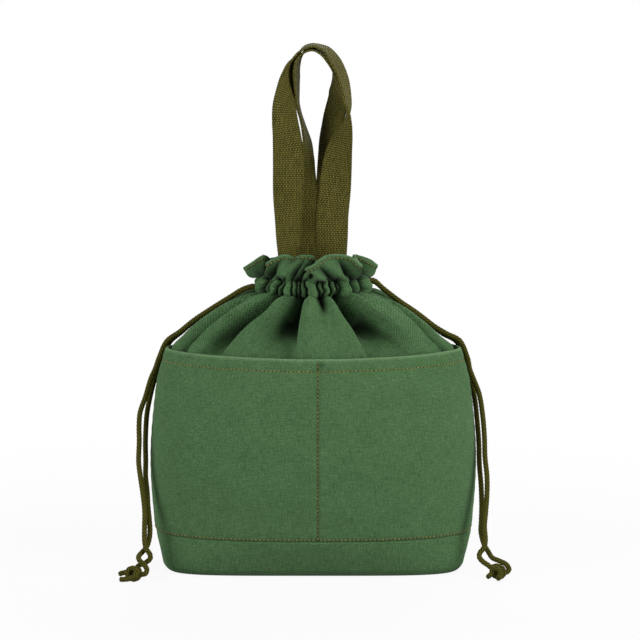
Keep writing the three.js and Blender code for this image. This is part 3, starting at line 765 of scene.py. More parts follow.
def pocketRows():
    # height and depth into the wall, once round the cloth's own section
    plan, hem = pocketPlan, wall["hem"]
    thick, roll = plan["cloth"], plan["hemThick"] / 2
    low, count = plan["lowEdge"], plan["faceRows"]
    rows = [(blend(low + thick, hem - roll, k / count), 0) for k in range(count + 1)]
    rows += [(hem - roll + roll * math.sin(turn), roll - roll * math.cos(turn))
             for turn in (math.pi * k / 6 for k in range(1, 6))]
    rows += [(blend(hem - roll, hem - plan["hemTurn"], k / 5), plan["hemThick"]) for k in range(6)]
    rows += [(blend(hem - plan["hemTurn"] - 0.7, low + plan["lowTurn"] + 0.7, k / 24), thick)
             for k in range(25)]
    rows += [(blend(low + plan["lowTurn"], low + thick, k / 4), 2 * thick) for k in range(5)]
    rows += [(low + thick - thick * math.sin(turn), thick + thick * math.cos(turn))
             for turn in (math.pi * k / 5 for k in range(1, 5))]
    rows.append(rows[0])
    return rows


def pocketPush(half, point, z, along, length):
    # how far the cloth stands out of the plain wall: sag, seams and the puckers beside them
    plan, hem = pocketPlan, wall["hem"]
    side = point.x - plan["middleSeam"]
    fromHem = hem - z
    free = ease((z - plan["lowEdge"]) / 25) * ease(min(along, length - along) / 22)
    spot = (point.x, 40 * half, z)
    sag = 0.75 * drift(spot, 62, 3.1) + 0.5 * drift(spot, 27, 7.7) + 0.16 * drift(spot, 9, 1.3)
    push = plan["sag"] * free * sag
    push -= 1.0 * swell(side, 1.5) - 0.35 * swell(abs(side) - 3.4, 1.8)
    pucker = math.sin(2 * math.pi * z / 9 + 2 * drift(spot, 20)) * ease(abs(side) / 2)
    push += 0.32 * math.exp(-abs(side) / 6) * pucker
    push += 0.28 * ease((plan["hemStitch"] - fromHem) / 0.9)
    push -= 0.5 * swell(fromHem - plan["hemStitch"], 0.75)
    hemWave = math.sin(2 * math.pi * along / 8.3 + 3 * drift(spot, 24, 5))
    push += 0.16 * math.exp(-abs(fromHem - plan["hemStitch"]) / 4) * hemWave
    fromLow = z - plan["lowEdge"]
    push -= 0.4 * swell(fromLow - plan["lowStitch"], 0.7)
    lowWave = math.sin(2 * math.pi * along / 10.5 + 2 * drift(spot, 30, 9))
    push += 0.2 * swell(fromLow - 6.5, 3) * (1 + lowWave)
    fromSide = min(along, length - along)
    push -= 0.7 * swell(fromSide, 1.4)
    push += 0.22 * math.exp(-fromSide / 5) * math.sin(2 * math.pi * z / 10) * ease(fromSide / 2)
    return push


def pocketPlace(half, angle, z, along, length, depth=0, lift=0):
    # a place in the pocket cloth, its depth in from the face or lifted off it, and the way straight out
    halfWidth, halfDepth, squareness = wallRow(z)
    point, out = ringPlace(angle, halfWidth - depth, halfDepth - depth, squareness)
    point = point + out * (pocketPush(half, point, z, along, length) + lift)
    point.z = z
    return point, out


def pocketAngles(half):
    start = math.pi if half < 0 else 0
    return evenAngles(start, start + math.pi, pocketPlan["columns"], wall["hem"] / 2)


def pocketCloth(half):
    columns = pocketPlan["columns"]
    angles, length = pocketAngles(half)
    rows = pocketRows()
    travel = [0.0]
    for (z0, d0), (z1, d1) in zip(rows, rows[1:]):
        travel.append(travel[-1] + math.hypot(z1 - z0, d1 - d0))

    def place(column, row):
        z, depth = rows[row]
        along = length * column / columns
        point, _ = pocketPlace(half, angles[column], z, along, length, depth)
        fromHem = wall["hem"] - z
        # painted highlight along the hem's folded edge, and painted shade beside the middle seam, where the hem dips
        mark = -1.0 * swell(fromHem - 0.3, 1.1)
        mark += 0.5 * swell(point.x - pocketPlan["middleSeam"] - 3.2, 2.2) * swell(fromHem - 4.5, 3)
        return point, (along, travel[row]), mark

    bm = rolledSheet(columns, len(rows) - 1, place, joined=True, capped=True, mark="paintedShading")
    side = sideName[half]
    addPiece(side + "_pocket_cloth", bm, canvas, "bag", "canvas", [side + "_pocket_panel"])


def wallSpot(half, along, length, angles, z, lift):
    # a place on the pocket cloth's face, lifted off it, for thread
    place = clamp(along / length) * (len(angles) - 1)
    k = min(len(angles) - 2, int(place))
    angle = blend(angles[k], angles[k + 1], place - k)
    return pocketPlace(half, angle, z, along, length, 0, lift)


for half in (-1, 1):
    pocketCloth(half)
print("pocket cloths are hemmed")


# Base cloth: a shallow tray whose upper edge lies behind the pockets' lower edge
basePlan = {"cloth": 1.2, "edgeRadius": 6, "lap": 7, "tuck": 1.5, "columns": 300}


def baseCloth():
    plan, low = basePlan, pocketPlan["lowEdge"]
    thick, radius = plan["cloth"], plan["edgeRadius"]
    top = low + plan["lap"]

    def face(depth):
        # share of the way out from the middle, height and depth into the wall
        rows = [(k / 14, depth, 0) for k in range(14)]
        bend = radius - depth
        rows += [(1, radius - bend * math.cos(turn), radius - bend * math.sin(turn))
                 for turn in (math.pi / 2 * k / 8 for k in range(9))]
        rows += [(1, blend(radius + 1, low - 1, k / 20), depth) for k in range(21)]
        rows += [(1, low - 0.4, depth + plan["tuck"] * 0.7), (1, low + 0.4, depth + plan["tuck"] + 0.9)]
        rows += [(1, blend(low + 1.4, top, k / 3), depth + plan["tuck"] + 1.1) for k in range(4)]
        return rows

    outer, inner = face(0), face(thick)
    rows = outer + inner[::-1]
    angles, length = evenAngles(0, 2 * math.pi, plan["columns"], low)
    bottomWidth, bottomDepth, bottomSquareness = wallRow(0)

    def place(column, row):
        share, z, depth = rows[row]
        angle = angles[column]
        along = length * column / plan["columns"]
        halfWidth, halfDepth, squareness = wallRow(max(0, z))
        if share < 1:
            rim, _ = ringPlace(angle, bottomWidth - radius, bottomDepth - radius, bottomSquareness)
            point = rim * share
            point.z = z
            return point, (point.x, point.y)
        edge = clamp((z - 1) / 5)
        squareness = blend(bottomSquareness, squareness, edge)
        point, out = ringPlace(angle, blend(bottomWidth, halfWidth, edge) - depth,
                               blend(bottomDepth, halfDepth, edge) - depth, squareness)
        spot = (point.x, point.y, z)
        free = ease(z / 8) * ease((low + 1 - z) / 4)
        push = free * (0.8 * drift(spot, 46, 2.2) + 0.35 * drift(spot, 17, 4.4)) - 0.15
        ripple = math.sin(2 * math.pi * along / 11 + 2 * drift(spot, 30, 6))
        push += 0.3 * free * swell(z - low + 4, 4) * ripple
        point = point + out * push
        point.z = z
        return point, (along, z + 60)

    bm = rolledSheet(plan["columns"], len(rows) - 1, place, joined=True)
    addPiece("base_cloth", bm, canvas, "bag", "canvas", ["base_panel"])


baseCloth()
print("base cloth is turned up")


# Inner bag: rows of height, half width, half depth, boxiness and extra fullness of the left side
tunnelLow, tunnelHigh = (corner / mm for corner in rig.box("front_casing"))
collar = {
    "cloth": 1.2,
    "neckLow": tunnelLow.z,
    "neckHigh": tunnelHigh.z,
    "neckHalfWidth": 39.5, "neckHalfDepth": 27.5,
    "shoulderHalfWidth": 112, "shoulderHalfDepth": 47.75, "leftFullness": 3.5,
    "slackWide": 8.7, "slackDeep": 14.2, "lowEdge": 36, "seamPullWidth": 15,
    # rise, narrowing in width and in depth, boxiness, share of the fullness
    "shoulderShares": [
        (0.18, 0.135, 0.085, 1.8, 0.75), (0.36, 0.27, 0.2, 1.85, 1), (0.53, 0.42, 0.36, 1.9, 0.9),
        (0.7, 0.6, 0.52, 2, 0.6), (0.87, 0.86, 0.84, 2, 0.25), (0.955, 0.975, 0.955, 2, 0.05),
        (1, 1, 1, 2, 0),
    ],
    # height and how much of the folds shows there
    "foldRows": [(34, 0), (110, 0.07), (165, 0.16), (177, 0.24), (186, 0.38), (197, 0.66), (208, 1.02),
                 (213, 1.1), (217, 1.05), (222.8, 0.6), (235, 0.3)],
    # height and how much of the neck's small pleats shows there
    "pleatRows": [(34, 0), (200, 0), (209, 0.16), (216, 0.5), (222.8, 1), (235, 1)],
    "pleatDepth": 5.4,
    "foldScale": 2.1,
    "columns": 420,
    # where the cloth is drawn in under the tunnel, and the room that the webbing takes inside
    "pinchFrom": 216, "pinchRise": 10, "pinchIn": 1.4, "webbingDepth": 9.5, "webbingReach": 34,
}
# a short crease runs down from the tunnel into the front's middle panel
frontNotch = {"side": 0.13, "width": 0.04, "foot": 204, "rise": 12, "depth": 10}
innerRows = [
    (pocketPlan["lowEdge"], 124.3, 59, 2.6, 0),
    *((z, wide * wall["halfWidth"] - collar["slackWide"], deep * wall["halfDepth"] - collar["slackDeep"],
       squareness, 0) for z, wide, deep, squareness in ((75, 1, 1, 2.3), (148, 0.962, 0.955, 2.0))),
    (wall["hem"], collar["shoulderHalfWidth"], collar["shoulderHalfDepth"], 1.8,
     collar["leftFullness"] / 4),
]
for rise, wide, deep, squareness, full in collar["shoulderShares"]:
    innerRows.append((
        wall["hem"] + (collar["neckLow"] - wall["hem"]) * rise,
        blend(collar["shoulderHalfWidth"], collar["neckHalfWidth"], wide),
        blend(collar["shoulderHalfDepth"], collar["neckHalfDepth"], deep),
        squareness, collar["leftFullness"] * full,
    ))
innerRows.append((collar["neckHigh"], collar["neckHalfWidth"], collar["neckHalfDepth"], 2, 0))

# The big folds across the front: place from side to side (-1 to 1), height in mm, lean past upright
frontFolds = [
    (-1, 0, 0), (-0.975, 3, 0), (-0.945, -2, 0), (-0.92, -10, 0), (-0.895, -9, 0.02), (-0.88, -1, -0.01),
    (-0.86, 4.8, -0.01), (-0.81, 1.5, 0), (-0.76, -8, 0), (-0.7, -15, 0.03), (-0.655, -13, 0.03),
    (-0.638, -4, 0.02), (-0.62, 3, -0.02), (-0.6, 5.4, -0.02), (-0.52, 3.6, 0), (-0.4, -3, 0),
    (-0.27, -9, 0), (-0.17, -12, 0.05), (-0.135, -7, 0.02), (-0.115, 0.5, -0.03), (-0.1, 4.4, -0.02),
    (-0.03, 5.6, 0), (0.05, 4.6, 0), (0.1, 3.8, 0), (0.2, 4.8, 0), (0.3, 5.8, 0), (0.35, 4.6, 0.02),
    (0.365, 0.5, 0.03), (0.38, -7, -0.01), (0.41, -12, -0.05), (0.51, -12, -0.02), (0.64, -8, 0),
    (0.73, 0, 0), (0.81, 4.6, 0), (0.875, 4.6, 0.01), (0.895, 1, 0.01), (0.91, -6, 0), (0.93, -8, 0),
    (0.955, -1, 0), (0.975, 2.5, 0), (1, 0, 0),
]
backFolds = [
    (-1, 0, 0), (-0.96, 2.5, 0), (-0.88, 3.2, 0), (-0.84, 0.5, 0.02), (-0.83, -4, -0.02), (-0.76, -7, 0),
    (-0.62, -2, 0), (-0.5, 3.5, 0), (-0.43, 5, 0.02), (-0.415, 1, 0.035), (-0.4, -5, 0),
    (-0.385, -10, -0.04), (-0.31, -8, 0), (-0.2, -1, 0), (-0.08, 4.5, 0), (0.02, 5.2, 0), (0.1, 3, 0),
    (0.17, 4.4, 0), (0.235, 4.6, 0.02), (0.25, 0, 0.035), (0.265, -6, 0), (0.285, -11, -0.045),
    (0.36, -8, 0), (0.5, -2, 0), (0.61, 4.2, 0), (0.66, 4.4, 0.02), (0.675, 0, 0.02), (0.69, -6, -0.03),
    (0.77, -4, 0), (0.86, 1, 0), (0.94, 3, 0), (0.98, 1, 0), (1, 0, 0),
]
# The folds run together up the shoulder: a fold's place at the hem, and the same fold's at the neck
frontGather = [(-1, -1), (-0.88, -0.68), (-0.63, -0.3), (-0.11, -0.12), (0.1, 0.05), (0.37, 0.19),
               (0.8, 0.5), (0.9, 0.84), (1, 1)]
backGather = [(-1, -1), (-0.84, -0.68), (-0.42, -0.24), (0, 0), (0.25, 0.14), (0.66, 0.42),
              (0.9, 0.8), (1, 1)]
# Valleys between the neck's small pleats, from side to side, and how far each pleat stands out
frontPleats = [
    (-1, 0.8), (-0.93, 1.1), (-0.815, 0.6), (-0.72, 1.15), (-0.605, 0.7), (-0.487, 1.2), (-0.378, 0.75),
    (-0.296, 0.45), (-0.215, 0.7), (-0.124, 1.35), (0.08, 0.65), (0.176, 1.0), (0.267, 0.7), (0.367, 0.36),
    (0.44, 1.25), (0.655, 0.75), (0.81, 1.2), (0.985, 0.3), (1, 0),
]
backPleats = [
    (-1, 0.8), (-0.9, 1.0), (-0.79, 0.7), (-0.7, 0.95), (-0.57, 0.8), (-0.47, 1.1), (-0.33, 0.7),
    (-0.24, 0.85), (-0.13, 1.0), (0.0, 0.75), (0.09, 1.0), (0.21, 0.7), (0.3, 0.9), (0.42, 1.1),
    (0.56, 0.75), (0.65, 0.9), (0.77, 0.85), (0.88, 0.9), (1, 0),
]


def gathered(gather, side):
    # where a fold that is here at the hem stands at the neck
    for (a, low), (b, high) in zip(gather, gather[1:]):
        if side <= b or b == 1:
            return blend(low, high, clamp((side - a) / (b - a)))


def pleatHeight(pleats, side, z=0.0, waver=0.0):
    # round-topped pleats with narrow valleys; z makes them wander up the cloth
    side = side + waver * uneven(side * 6, z / 5, 3.3)
    for (here, stand), (there, _) in zip(pleats, pleats[1:]):
        if side <= there or there == 1:
            share = clamp((side - here) / (there - here))
            return stand * max(0.0, math.sin(math.pi * share)) ** 0.6
    return 0.0


def alongFolds(folds, count, meanRadius=50):
    # places evenly spaced along the folded cloth: turn from side to side, height and lean
    table = []
    length = 0.0
    for k, (side, height, lean) in enumerate(folds):
        turn = math.acos(clamp(-side, -1, 1))
        if k:
            length += math.hypot((turn - table[-1][1]) * meanRadius, height - table[-1][2])
        table.append((length, turn, height, lean))
    return [smoothRow(table, length * k / count) for k in range(count + 1)]


@functools.lru_cache(None)
def innerRow(z, step=0.2):
    # half width, half depth, boxiness, left fullness, and how width and depth change with height
    here, above = smoothRow(innerRows, z), smoothRow(innerRows, z + step)
    return (*here, (above[0] - here[0]) / step, (above[1] - here[1]) / step)


def innerPlace(half, side, z):
    # a point of the inner bag without its folds, and the direction straight out of the cloth
    halfWidth, halfDepth, squareness, extra, widen, deepen = innerRow(z)
    side = clamp(side, -1, 1)
    halfWidth += extra * ease(-side / 0.6)
    across = abs(side)
    deep = (1 - across ** squareness) ** (1 / squareness)
    point = Vector((side * halfWidth, half * deep * halfDepth, z))
    out = Vector((math.copysign(across ** (squareness - 1), side) / halfWidth,
                  half * deep ** (squareness - 1) / halfDepth,
                  -(across ** squareness * widen / halfWidth + deep ** squareness * deepen / halfDepth)))
    wallWidth, wallDepth, wallSquareness = wallRow(min(z, wall["hem"]))
    reach = (1 - min(1.0, abs(point.x) / wallWidth) ** wallSquareness) ** (1 / wallSquareness)
    wallY = half * (wallDepth - 5.2) * reach
    pull = swell(point.x - pocketPlan["middleSeam"], collar["seamPullWidth"])
    pull *= swell(max(0.0, z - wall["hem"]), 15) * ease((z - 40) / 35)
    point.y += (wallY - point.y) * pull
    return point, out.normalized(), pull


def heldBack(push, room):
    # a deep valley flattens before it meets the webbing inside
    if push > -0.6 * room:
        return push
    return -room * (0.6 + 0.4 * math.tanh((-push / room - 0.6) / 0.4))


def bodyHeights():
    low, hem = collar["lowEdge"], wall["hem"]
    rows = [blend(low, hem - 10, k / 9) for k in range(9)]
    rows += [blend(hem - 10, collar["neckHigh"], k / 74) for k in range(75)]
    return rows


def bodyCloth(half):
    columns = collar["columns"]
    folds, pleats = (frontFolds, frontPleats) if half < 0 else (backFolds, backPleats)
    gather = frontGather if half < 0 else backGather
    stations = alongFolds(folds, columns)
    heights = bodyHeights()
    foldShow = [smoothRow(collar["foldRows"], z)[0] for z in heights]
    pleatShow = [smoothRow(collar["pleatRows"], z)[0] for z in heights]
    across = [0.0] * (columns + 1)

    def place(column, row):
        turn, height, lean = stations[column]
        z, show = heights[row], foldShow[row]
        side = -math.cos(turn)
        edge = ease(math.sin(turn) / 0.25)
        side += lean * show
        rise = clamp((z - wall["hem"]) / (collar["neckLow"] - wall["hem"]))
        side = blend(side, gathered(gather, clamp(side, -1, 1)), rise ** 2)
        point, out, pull = innerPlace(half, side, z)
        crease = edge * (0.55 * uneven(side * 11, z / 34, half * 4.0)
                         + 0.3 * uneven(side * 26, z / 26, half * 9.0))
        neck = pleatShow[row]
        pinch = ease((z - collar["pinchFrom"]) / collar["pinchRise"])
        push = height * collar["foldScale"] * show * blend(1, 0.4, pinch) - pinch * collar["pinchIn"]
        push += crease * blend(0.9, 1.9, show)
        notch = swell(side - frontNotch["side"], frontNotch["width"]) if half < 0 else 0
        notch *= ease((z - frontNotch["foot"]) / frontNotch["rise"])
        push -= frontNotch["depth"] * notch
        crest = pleatHeight(pleats, side, z, 0.03)
        push += neck * collar["pleatDepth"] * (crest - 0.62) * edge * (1 - 0.8 * clamp(-height / 9))
        push *= blend(0.3, 1, ease((z - 150) / 25)) * (1 - 0.8 * pull)
        room = max(2, abs(point.y) - collar["webbingDepth"])
        room += 20 * ease((abs(point.x) - collar["webbingReach"]) / 10)
        point = point + out * heldBack(push, room)
        # painted shade in the folds' valleys, deepest right under the tunnel, and in the neck's pleat valleys and the
        # front's short crease
        fade = 0.4 * ease((z - wall["hem"] + 6) / 34) + 0.6 * ease((z - 188) / 18)
        paintedShading = clamp((-height - 1) / 6) * fade * (1 - 0.8 * pull)
        paintedShading = max(paintedShading, 0.75 * ease((z - 213) / 9) * clamp(1.1 - crest) * edge, 0.8 * notch)
        return point, (across[column], z + 0.4 * max(0, z - wall["hem"])), paintedShading

    # the thread's way across is measured just above the hem
    measured = min(range(len(heights)), key=lambda row: abs(heights[row] - wall["hem"] - 10))
    across = travelled([place(column, measured)[0] for column in range(columns + 1)])

    bm = rolledSheet(columns, len(heights) - 1, place, mark="paintedShading")
    bm.normal_update()
    side = sideName[half]
    piece = addPiece(side + "_body_cloth", bm, canvas, "bag", "canvas", [side + "_body_panel"])
    thicken(piece, collar["cloth"])


for half in (-1, 1):
    bodyCloth(half)
print("inner bag is folded and gathered")


# Cord tunnel strips: pleated bands round the neck that bulge over the two cords
tunnelPlan = {
    "bulge": 4.2, "pleatDepth": 7.0, "rimReach": -0.8, "rimPleat": 5.4, "endGap": 7.5,
    "columns": 340, "rows": 30, "cloth": 1.0, "pleatRadius": 38,
}


def tunnelCloth(half):
    plan = tunnelPlan
    columns, rows = plan["columns"], plan["rows"]
    low, high = collar["neckLow"], collar["neckHigh"]
    pleats = frontPleats if half < 0 else backPleats
    gap = math.asin(plan["endGap"] / (collar["neckHalfDepth"] + plan["bulge"]))
    length = math.pi * plan["pleatRadius"]

    def place(column, row):
        share = column / columns
        up = row / rows
        turn = blend(gap, math.pi - gap, share)
        side = -math.cos(turn)
        z = blend(low, high, up)
        dome = math.sin(math.pi * up) ** 0.6
        lean = 0.05 * uneven(side * 5, half * 3.0, 1.7)
        crest = pleatHeight(pleats, side + lean * (up - 0.5) * 2, z, 0.05)
        slack = 1.6 * uneven(side * 13, z / 4, half * 5.0) * dome * crest
        edge = ease((1 - abs(share - 0.5) * 2) / 0.05)
        rim = plan["rimReach"] + 2.2 * up + plan["rimPleat"] * crest * edge
        knob = plan["bulge"] + plan["pleatDepth"] * crest * edge + slack
        reach = blend(rim, knob, dome)
        z += (up - 0.5) * 2 * (2.3 * (crest - 0.5) + 2.0 * uneven(side * 9, up, half * 2.0))
        away = half * math.sin(turn)
        point = Vector((side * (collar["neckHalfWidth"] + reach),
                        away * (collar["neckHalfDepth"] + reach), z))
        # painted shade in the valleys between the pleats and along the tunnel's rims, more along the lower rim
        paintedShading = clamp(1.05 - 1.3 * crest ** 1.4) * edge + (0.4 if up < 0.5 else 0.1) * (1 - dome)
        return point, (length * share, 14 * up), clamp(paintedShading)

    bm = rolledSheet(columns, rows, place, mark="paintedShading")
    side = sideName[half]
    piece = addPiece(side + "_casing_cloth", bm, canvas, "bag", "canvas", [side + "_casing"])
    thicken(piece, plan["cloth"])


for half in (-1, 1):
    tunnelCloth(half)
print("cord tunnel is gathered")


# Frill above the tunnel. Hem places going round, as shares of half width, half depth and rise
frillPlan = {"halfWidth": 54, "halfDepth": 44, "rise": 22, "tall": 27.5, "columns": 330, "rows": 44,
             "cloth": 1.1, "hem": 3.4}
frontHem = [
    (-1.028, 0, 0.31), (-0.88, -0.18, 0.6), (-0.73, -0.32, 0.86), (-0.64, -0.2, 0.65), (-0.68, -0.55, 0.62),
    (-0.6, -0.66, 0.78), (-0.46, -0.66, 0.95), (-0.35, -0.6, 0.93), (-0.27, -0.48, 0.82),
    (-0.15, -0.55, 0.91), (-0.04, -0.62, 0.93), (0.02, -0.52, 0.84), (0.01, -0.38, 0.7),
    (0.06, -0.56, 0.72), (0.03, -0.8, 0.62), (-0.12, -0.95, 0.53), (0.0, -1.01, 0.69), (0.1, -0.9, 0.88),
    (0.19, -0.79, 0.98), (0.32, -0.75, 1), (0.45, -0.73, 0.97), (0.56, -0.72, 0.88), (0.7, -0.78, 0.62),
    (0.66, -0.55, 0.66), (0.62, -0.34, 0.74), (0.6, -0.17, 0.82), (0.66, -0.12, 0.8), (0.82, -0.08, 0.6),
    (0.946, 0, 0.4),
]
backHem = [
    (0.946, 0, 0.4), (0.84, 0.18, 0.55), (0.7, 0.25, 0.66), (0.62, 0.28, 0.66), (0.6, 0.42, 0.6),
    (0.64, 0.62, 0.46), (0.52, 0.77, 0.48), (0.34, 0.8, 0.52), (0.2, 0.7, 0.56), (0.1, 0.54, 0.58),
    (0.0, 0.52, 0.58), (-0.05, 0.68, 0.5), (0.03, 0.92, 0.36), (-0.1, 0.99, 0.42), (-0.27, 0.92, 0.5),
    (-0.38, 0.76, 0.55), (-0.42, 0.58, 0.57), (-0.52, 0.52, 0.56), (-0.62, 0.6, 0.48), (-0.76, 0.7, 0.34),
    (-0.8, 0.5, 0.42), (-0.76, 0.32, 0.56), (-0.83, 0.16, 0.52), (-0.93, 0.09, 0.42), (-1.028, 0, 0.31),
]

# Above the tunnel the cloth opens into fewer, wider lobes: valleys and how far each lobe stands out
frontLobes = [(-1, 0.6), (-0.685, 1.3), (-0.37, 0.75), (-0.22, 1.05), (-0.06, 1.35), (0.33, 1.15),
              (0.6, 0.9), (0.85, 0.5), (1, 0)]
backLobes = [(-1, 0.6), (-0.72, 1.1), (-0.45, 0.8), (-0.1, 1.3), (0.2, 0.9), (0.42, 1.2),
             (0.74, 0.6), (1, 0)]


def frillGrid(half):
    # points of the frill from its foot on the tunnel to its hem, column by column from the left
    # for the front half and from the right for the back
    plan = frillPlan
    front, back = (frontHem, frontPleats, frontLobes), (backHem, backPleats, backLobes)
    hemShares, pleats, lobes = front if half < 0 else back
    foot = collar["neckHigh"] + 0.3
    hem, hemLength = evenCurve([(x * plan["halfWidth"], y * plan["halfDepth"], foot + z * plan["rise"])
                                for x, y, z in hemShares], plan["columns"])
    grid, paintedShadings = [], []
    for column in range(plan["columns"] + 1):
        share = column / plan["columns"]
        turn = math.pi * share
        side = -math.cos(turn) if half < 0 else math.cos(turn)
        away = half * math.sin(turn)
        pleat, lobe = pleatHeight(pleats, side, foot, 0.03), pleatHeight(lobes, side, foot, 0.03)
        edge = ease(math.sin(turn) / 0.2)
        head = hem[column]
        out = Vector((side, away, 0)).normalized()
        line, tones = [], []
        for row in range(plan["rows"] + 1):
            up = row / plan["rows"]
            flare = up ** blend(1.1, 0.58, side ** 4)
            crest = blend(pleat, lobe, ease(up / 0.3))
            reach = 0.4 + 6 * crest * edge
            footX = side * (collar["neckHalfWidth"] + reach)
            footY = away * (collar["neckHalfDepth"] + reach)
            point = Vector((blend(footX, head.x, flare), blend(footY, head.y, flare),
                            blend(foot, head.z, up)))
            puff = 2.2 * math.sin(math.pi * min(1, up * 1.25)) * (1 - side ** 8) if up < 0.8 else 0.0
            crinkle = 0.9 * uneven(share * 30, up * 2.2, half * 6.0) * math.sin(math.pi * up)
            # pleats run up from the tunnel and open out; the end lobes droop a little
            fold = 6.4 * (crest - 0.6) * math.sin(math.pi * min(1, up * 1.05 + 0.12)) * edge
            droop = 4.2 * math.sin(math.pi * up) * abs(side) ** 12
            line.append(point + out * (puff + crinkle + fold) - Vector((0, 0, droop)))
            # painted shade in the folds and down at the foot, and a painted highlight along the hem
            deep = clamp(1.25 - 1.2 * crest ** 1.6) * (1 - up ** 2.2) + 0.4 * (1 - up) ** 3
            tones.append(clamp(deep) * edge - 0.5 * ease((up - 0.94) / 0.06))
        grid.append(line)
        paintedShadings.append(tones)
    return grid, paintedShadings, hemLength


# the row of the frill's grid that its stitches run along; the hem is twice as thick from there up
hemRow = frillPlan["rows"] - round(frillPlan["rows"] * frillPlan["hem"] / frillPlan["tall"])


def frillCloth(half):
    plan = frillPlan
    grid, paintedShadings, hemLength = frillGrid(half)

    def place(column, row):
        threads = (hemLength * column / plan["columns"], plan["tall"] * row / plan["rows"])
        return grid[column][row], threads, paintedShadings[column][row]

    bm = rolledSheet(plan["columns"], plan["rows"], place, mark="paintedShading")
    side = sideName[half]
    piece = addPiece(side + "_frill_cloth", bm, canvas, "bag", "canvas", [side + "_frill"])
    group = piece.vertex_groups.new(name="hem")
    hemPoints = {tuple(round(c, 3) for c in point) for line in grid for point in line[hemRow:]}
    hemVerts = [vert.index for vert in piece.data.vertices
                if tuple(round(c / mm, 3) for c in vert.co) in hemPoints]
    group.add(hemVerts, 1.0, "REPLACE")
    thicken(piece, 2 * plan["cloth"], 0, "hem")
    return grid


frillGrids = {half: frillCloth(half) for half in (-1, 1)}
print("frill is hemmed")


# Webbing loops. Places from the left hinge over the top to the right hinge, as shares of rise,
# half width and setback, then the webbing's turn from edge-on in degrees
loopPlan = {
    "width": 25, "thick": 1.8, "hinge": 285, "gap": 0.4, "halfWidth": 27.5, "setback": 12.5,
    "legEnd": 197, "legSewn": 212, "legFree": 233, "legReach": 6, "columns": 760,
    "legRise": (243, 252, 268), "pick": 1.7, "beading": 0.022, "beadFrom": 11, "corner": 0.75,
}
loops = {
    "front_handle": {
        "half": -1, "rise": 134.3, "feet": (-19.5, 14.5),
        "leftTurns": (90, 90, 90, 88, 70, 48, 40, 52),
        "rightTurns": (-90, -90, -90, -90, -84, -72, -68, -78),
        "shares": [
            (0, -0.7, -0.9, 64), (0.147, -0.713, -1.02, 78), (0.278, -0.71, -1.06, 80),
            (0.381, -0.72, -1.06, 74), (0.469, -0.755, -1.08, 63), (0.557, -0.805, -1.04, 54),
            (0.645, -0.825, -0.88, 46), (0.733, -0.765, -0.6, 37), (0.82, -0.7, -0.26, 24),
            (0.894, -0.59, 0, 14), (0.952, -0.425, 0, 8), (0.985, -0.255, 0, 1), (1, 0, 0, 0),
            (0.987, 0.25, 0, 8), (0.96, 0.44, 0, 15), (0.894, 0.67, -0.04, 19), (0.806, 0.86, -0.08, 17),
            (0.718, 0.955, -0.2, 14), (0.634, 0.99, -0.4, 9), (0.549, 0.94, -0.8, -14),
            (0.469, 0.85, -1.04, -36), (0.381, 0.75, -1.14, -54), (0.278, 0.68, -1.12, -70),
            (0.147, 0.63, -1.04, -84), (0, 0.565, -1, -90),
        ],
    },
    "rear_handle": {
        "half": 1, "rise": 131.5, "feet": (-10.4, 14.0),
        "leftTurns": (90,) * 8, "rightTurns": (-90,) * 8,
        "shares": [
            (0, -0.38, 1, 90), (0.135, -0.33, 1.08, 75), (0.228, -0.273, 1.16, 50), (0.318, -0.2, 1.22, 30),
            (0.408, -0.175, 1.3, 15), (0.502, -0.27, 1.28, 6), (0.584, -0.37, 1.18, 2),
            (0.652, -0.435, 1, 3), (0.727, -0.46, 0.76, 6), (0.8, -0.475, 0.5, 9), (0.872, -0.48, 0.28, 10),
            (0.938, -0.42, 0.1, 9), (0.98, -0.27, 0, 5), (1, -0.02, 0, 0), (0.975, 0.25, 0, 4),
            (0.93, 0.44, 0.04, 5), (0.88, 0.575, 0.14, 2), (0.809, 0.67, 0.34, -9), (0.734, 0.7, 0.6, -22),
            (0.671, 0.705, 0.88, -34), (0.539, 0.565, 1.34, -39), (0.434, 0.445, 1.42, -34),
            (0.315, 0.41, 1.34, -36), (0.157, 0.465, 1.14, -58), (0, 0.51, 1, -90),
        ],
    },
}


def legPlace(half, footSide, topSide, z):
    # the sewn part of a loop: flat through the mouth, then against the shoulder cloth
    plan = loopPlan
    lift = clamp((z - plan["legFree"]) / (plan["hinge"] - plan["legFree"]))
    drop = ease((plan["legFree"] - z) / (plan["legFree"] - plan["legSewn"]))
    x = blend(footSide, topSide, lift)
    halfWidth, halfDepth, squareness = innerRow(z)[:3]
    inner = min(1, abs(x) / (halfWidth - 1.2))
    sewn = (halfDepth - 1.2) * (1 - inner ** squareness) ** (1 / squareness) - 0.6 - plan["thick"] / 2
    sewn = min(sewn, plan["legReach"])
    return Vector((x, half * blend(plan["setback"], sewn, drop), z))


def loopStations(loop):
    plan, half = loopPlan, loop["half"]
    shares = loop["shares"]
    legHeights = [plan["legEnd"], (plan["legEnd"] + plan["legSewn"]) / 2, plan["legSewn"],
                  (plan["legSewn"] + plan["legFree"]) / 2, plan["legFree"], *plan["legRise"]]
    left, right = loop["feet"]
    leftLeg = [(legPlace(half, left, shares[0][1] * plan["halfWidth"], z), turn)
               for z, turn in zip(legHeights, loop["leftTurns"])]
    rightLeg = [(legPlace(half, right, shares[-1][1] * plan["halfWidth"], z), turn)
                for z, turn in zip(legHeights, loop["rightTurns"])][::-1]
    over = [(Vector((side * plan["halfWidth"], back * plan["setback"],
                     plan["hinge"] + plan["gap"] + up * (loop["rise"] - plan["gap"]))), turn)
            for up, side, back, turn in shares]
    return leftLeg + over + rightLeg


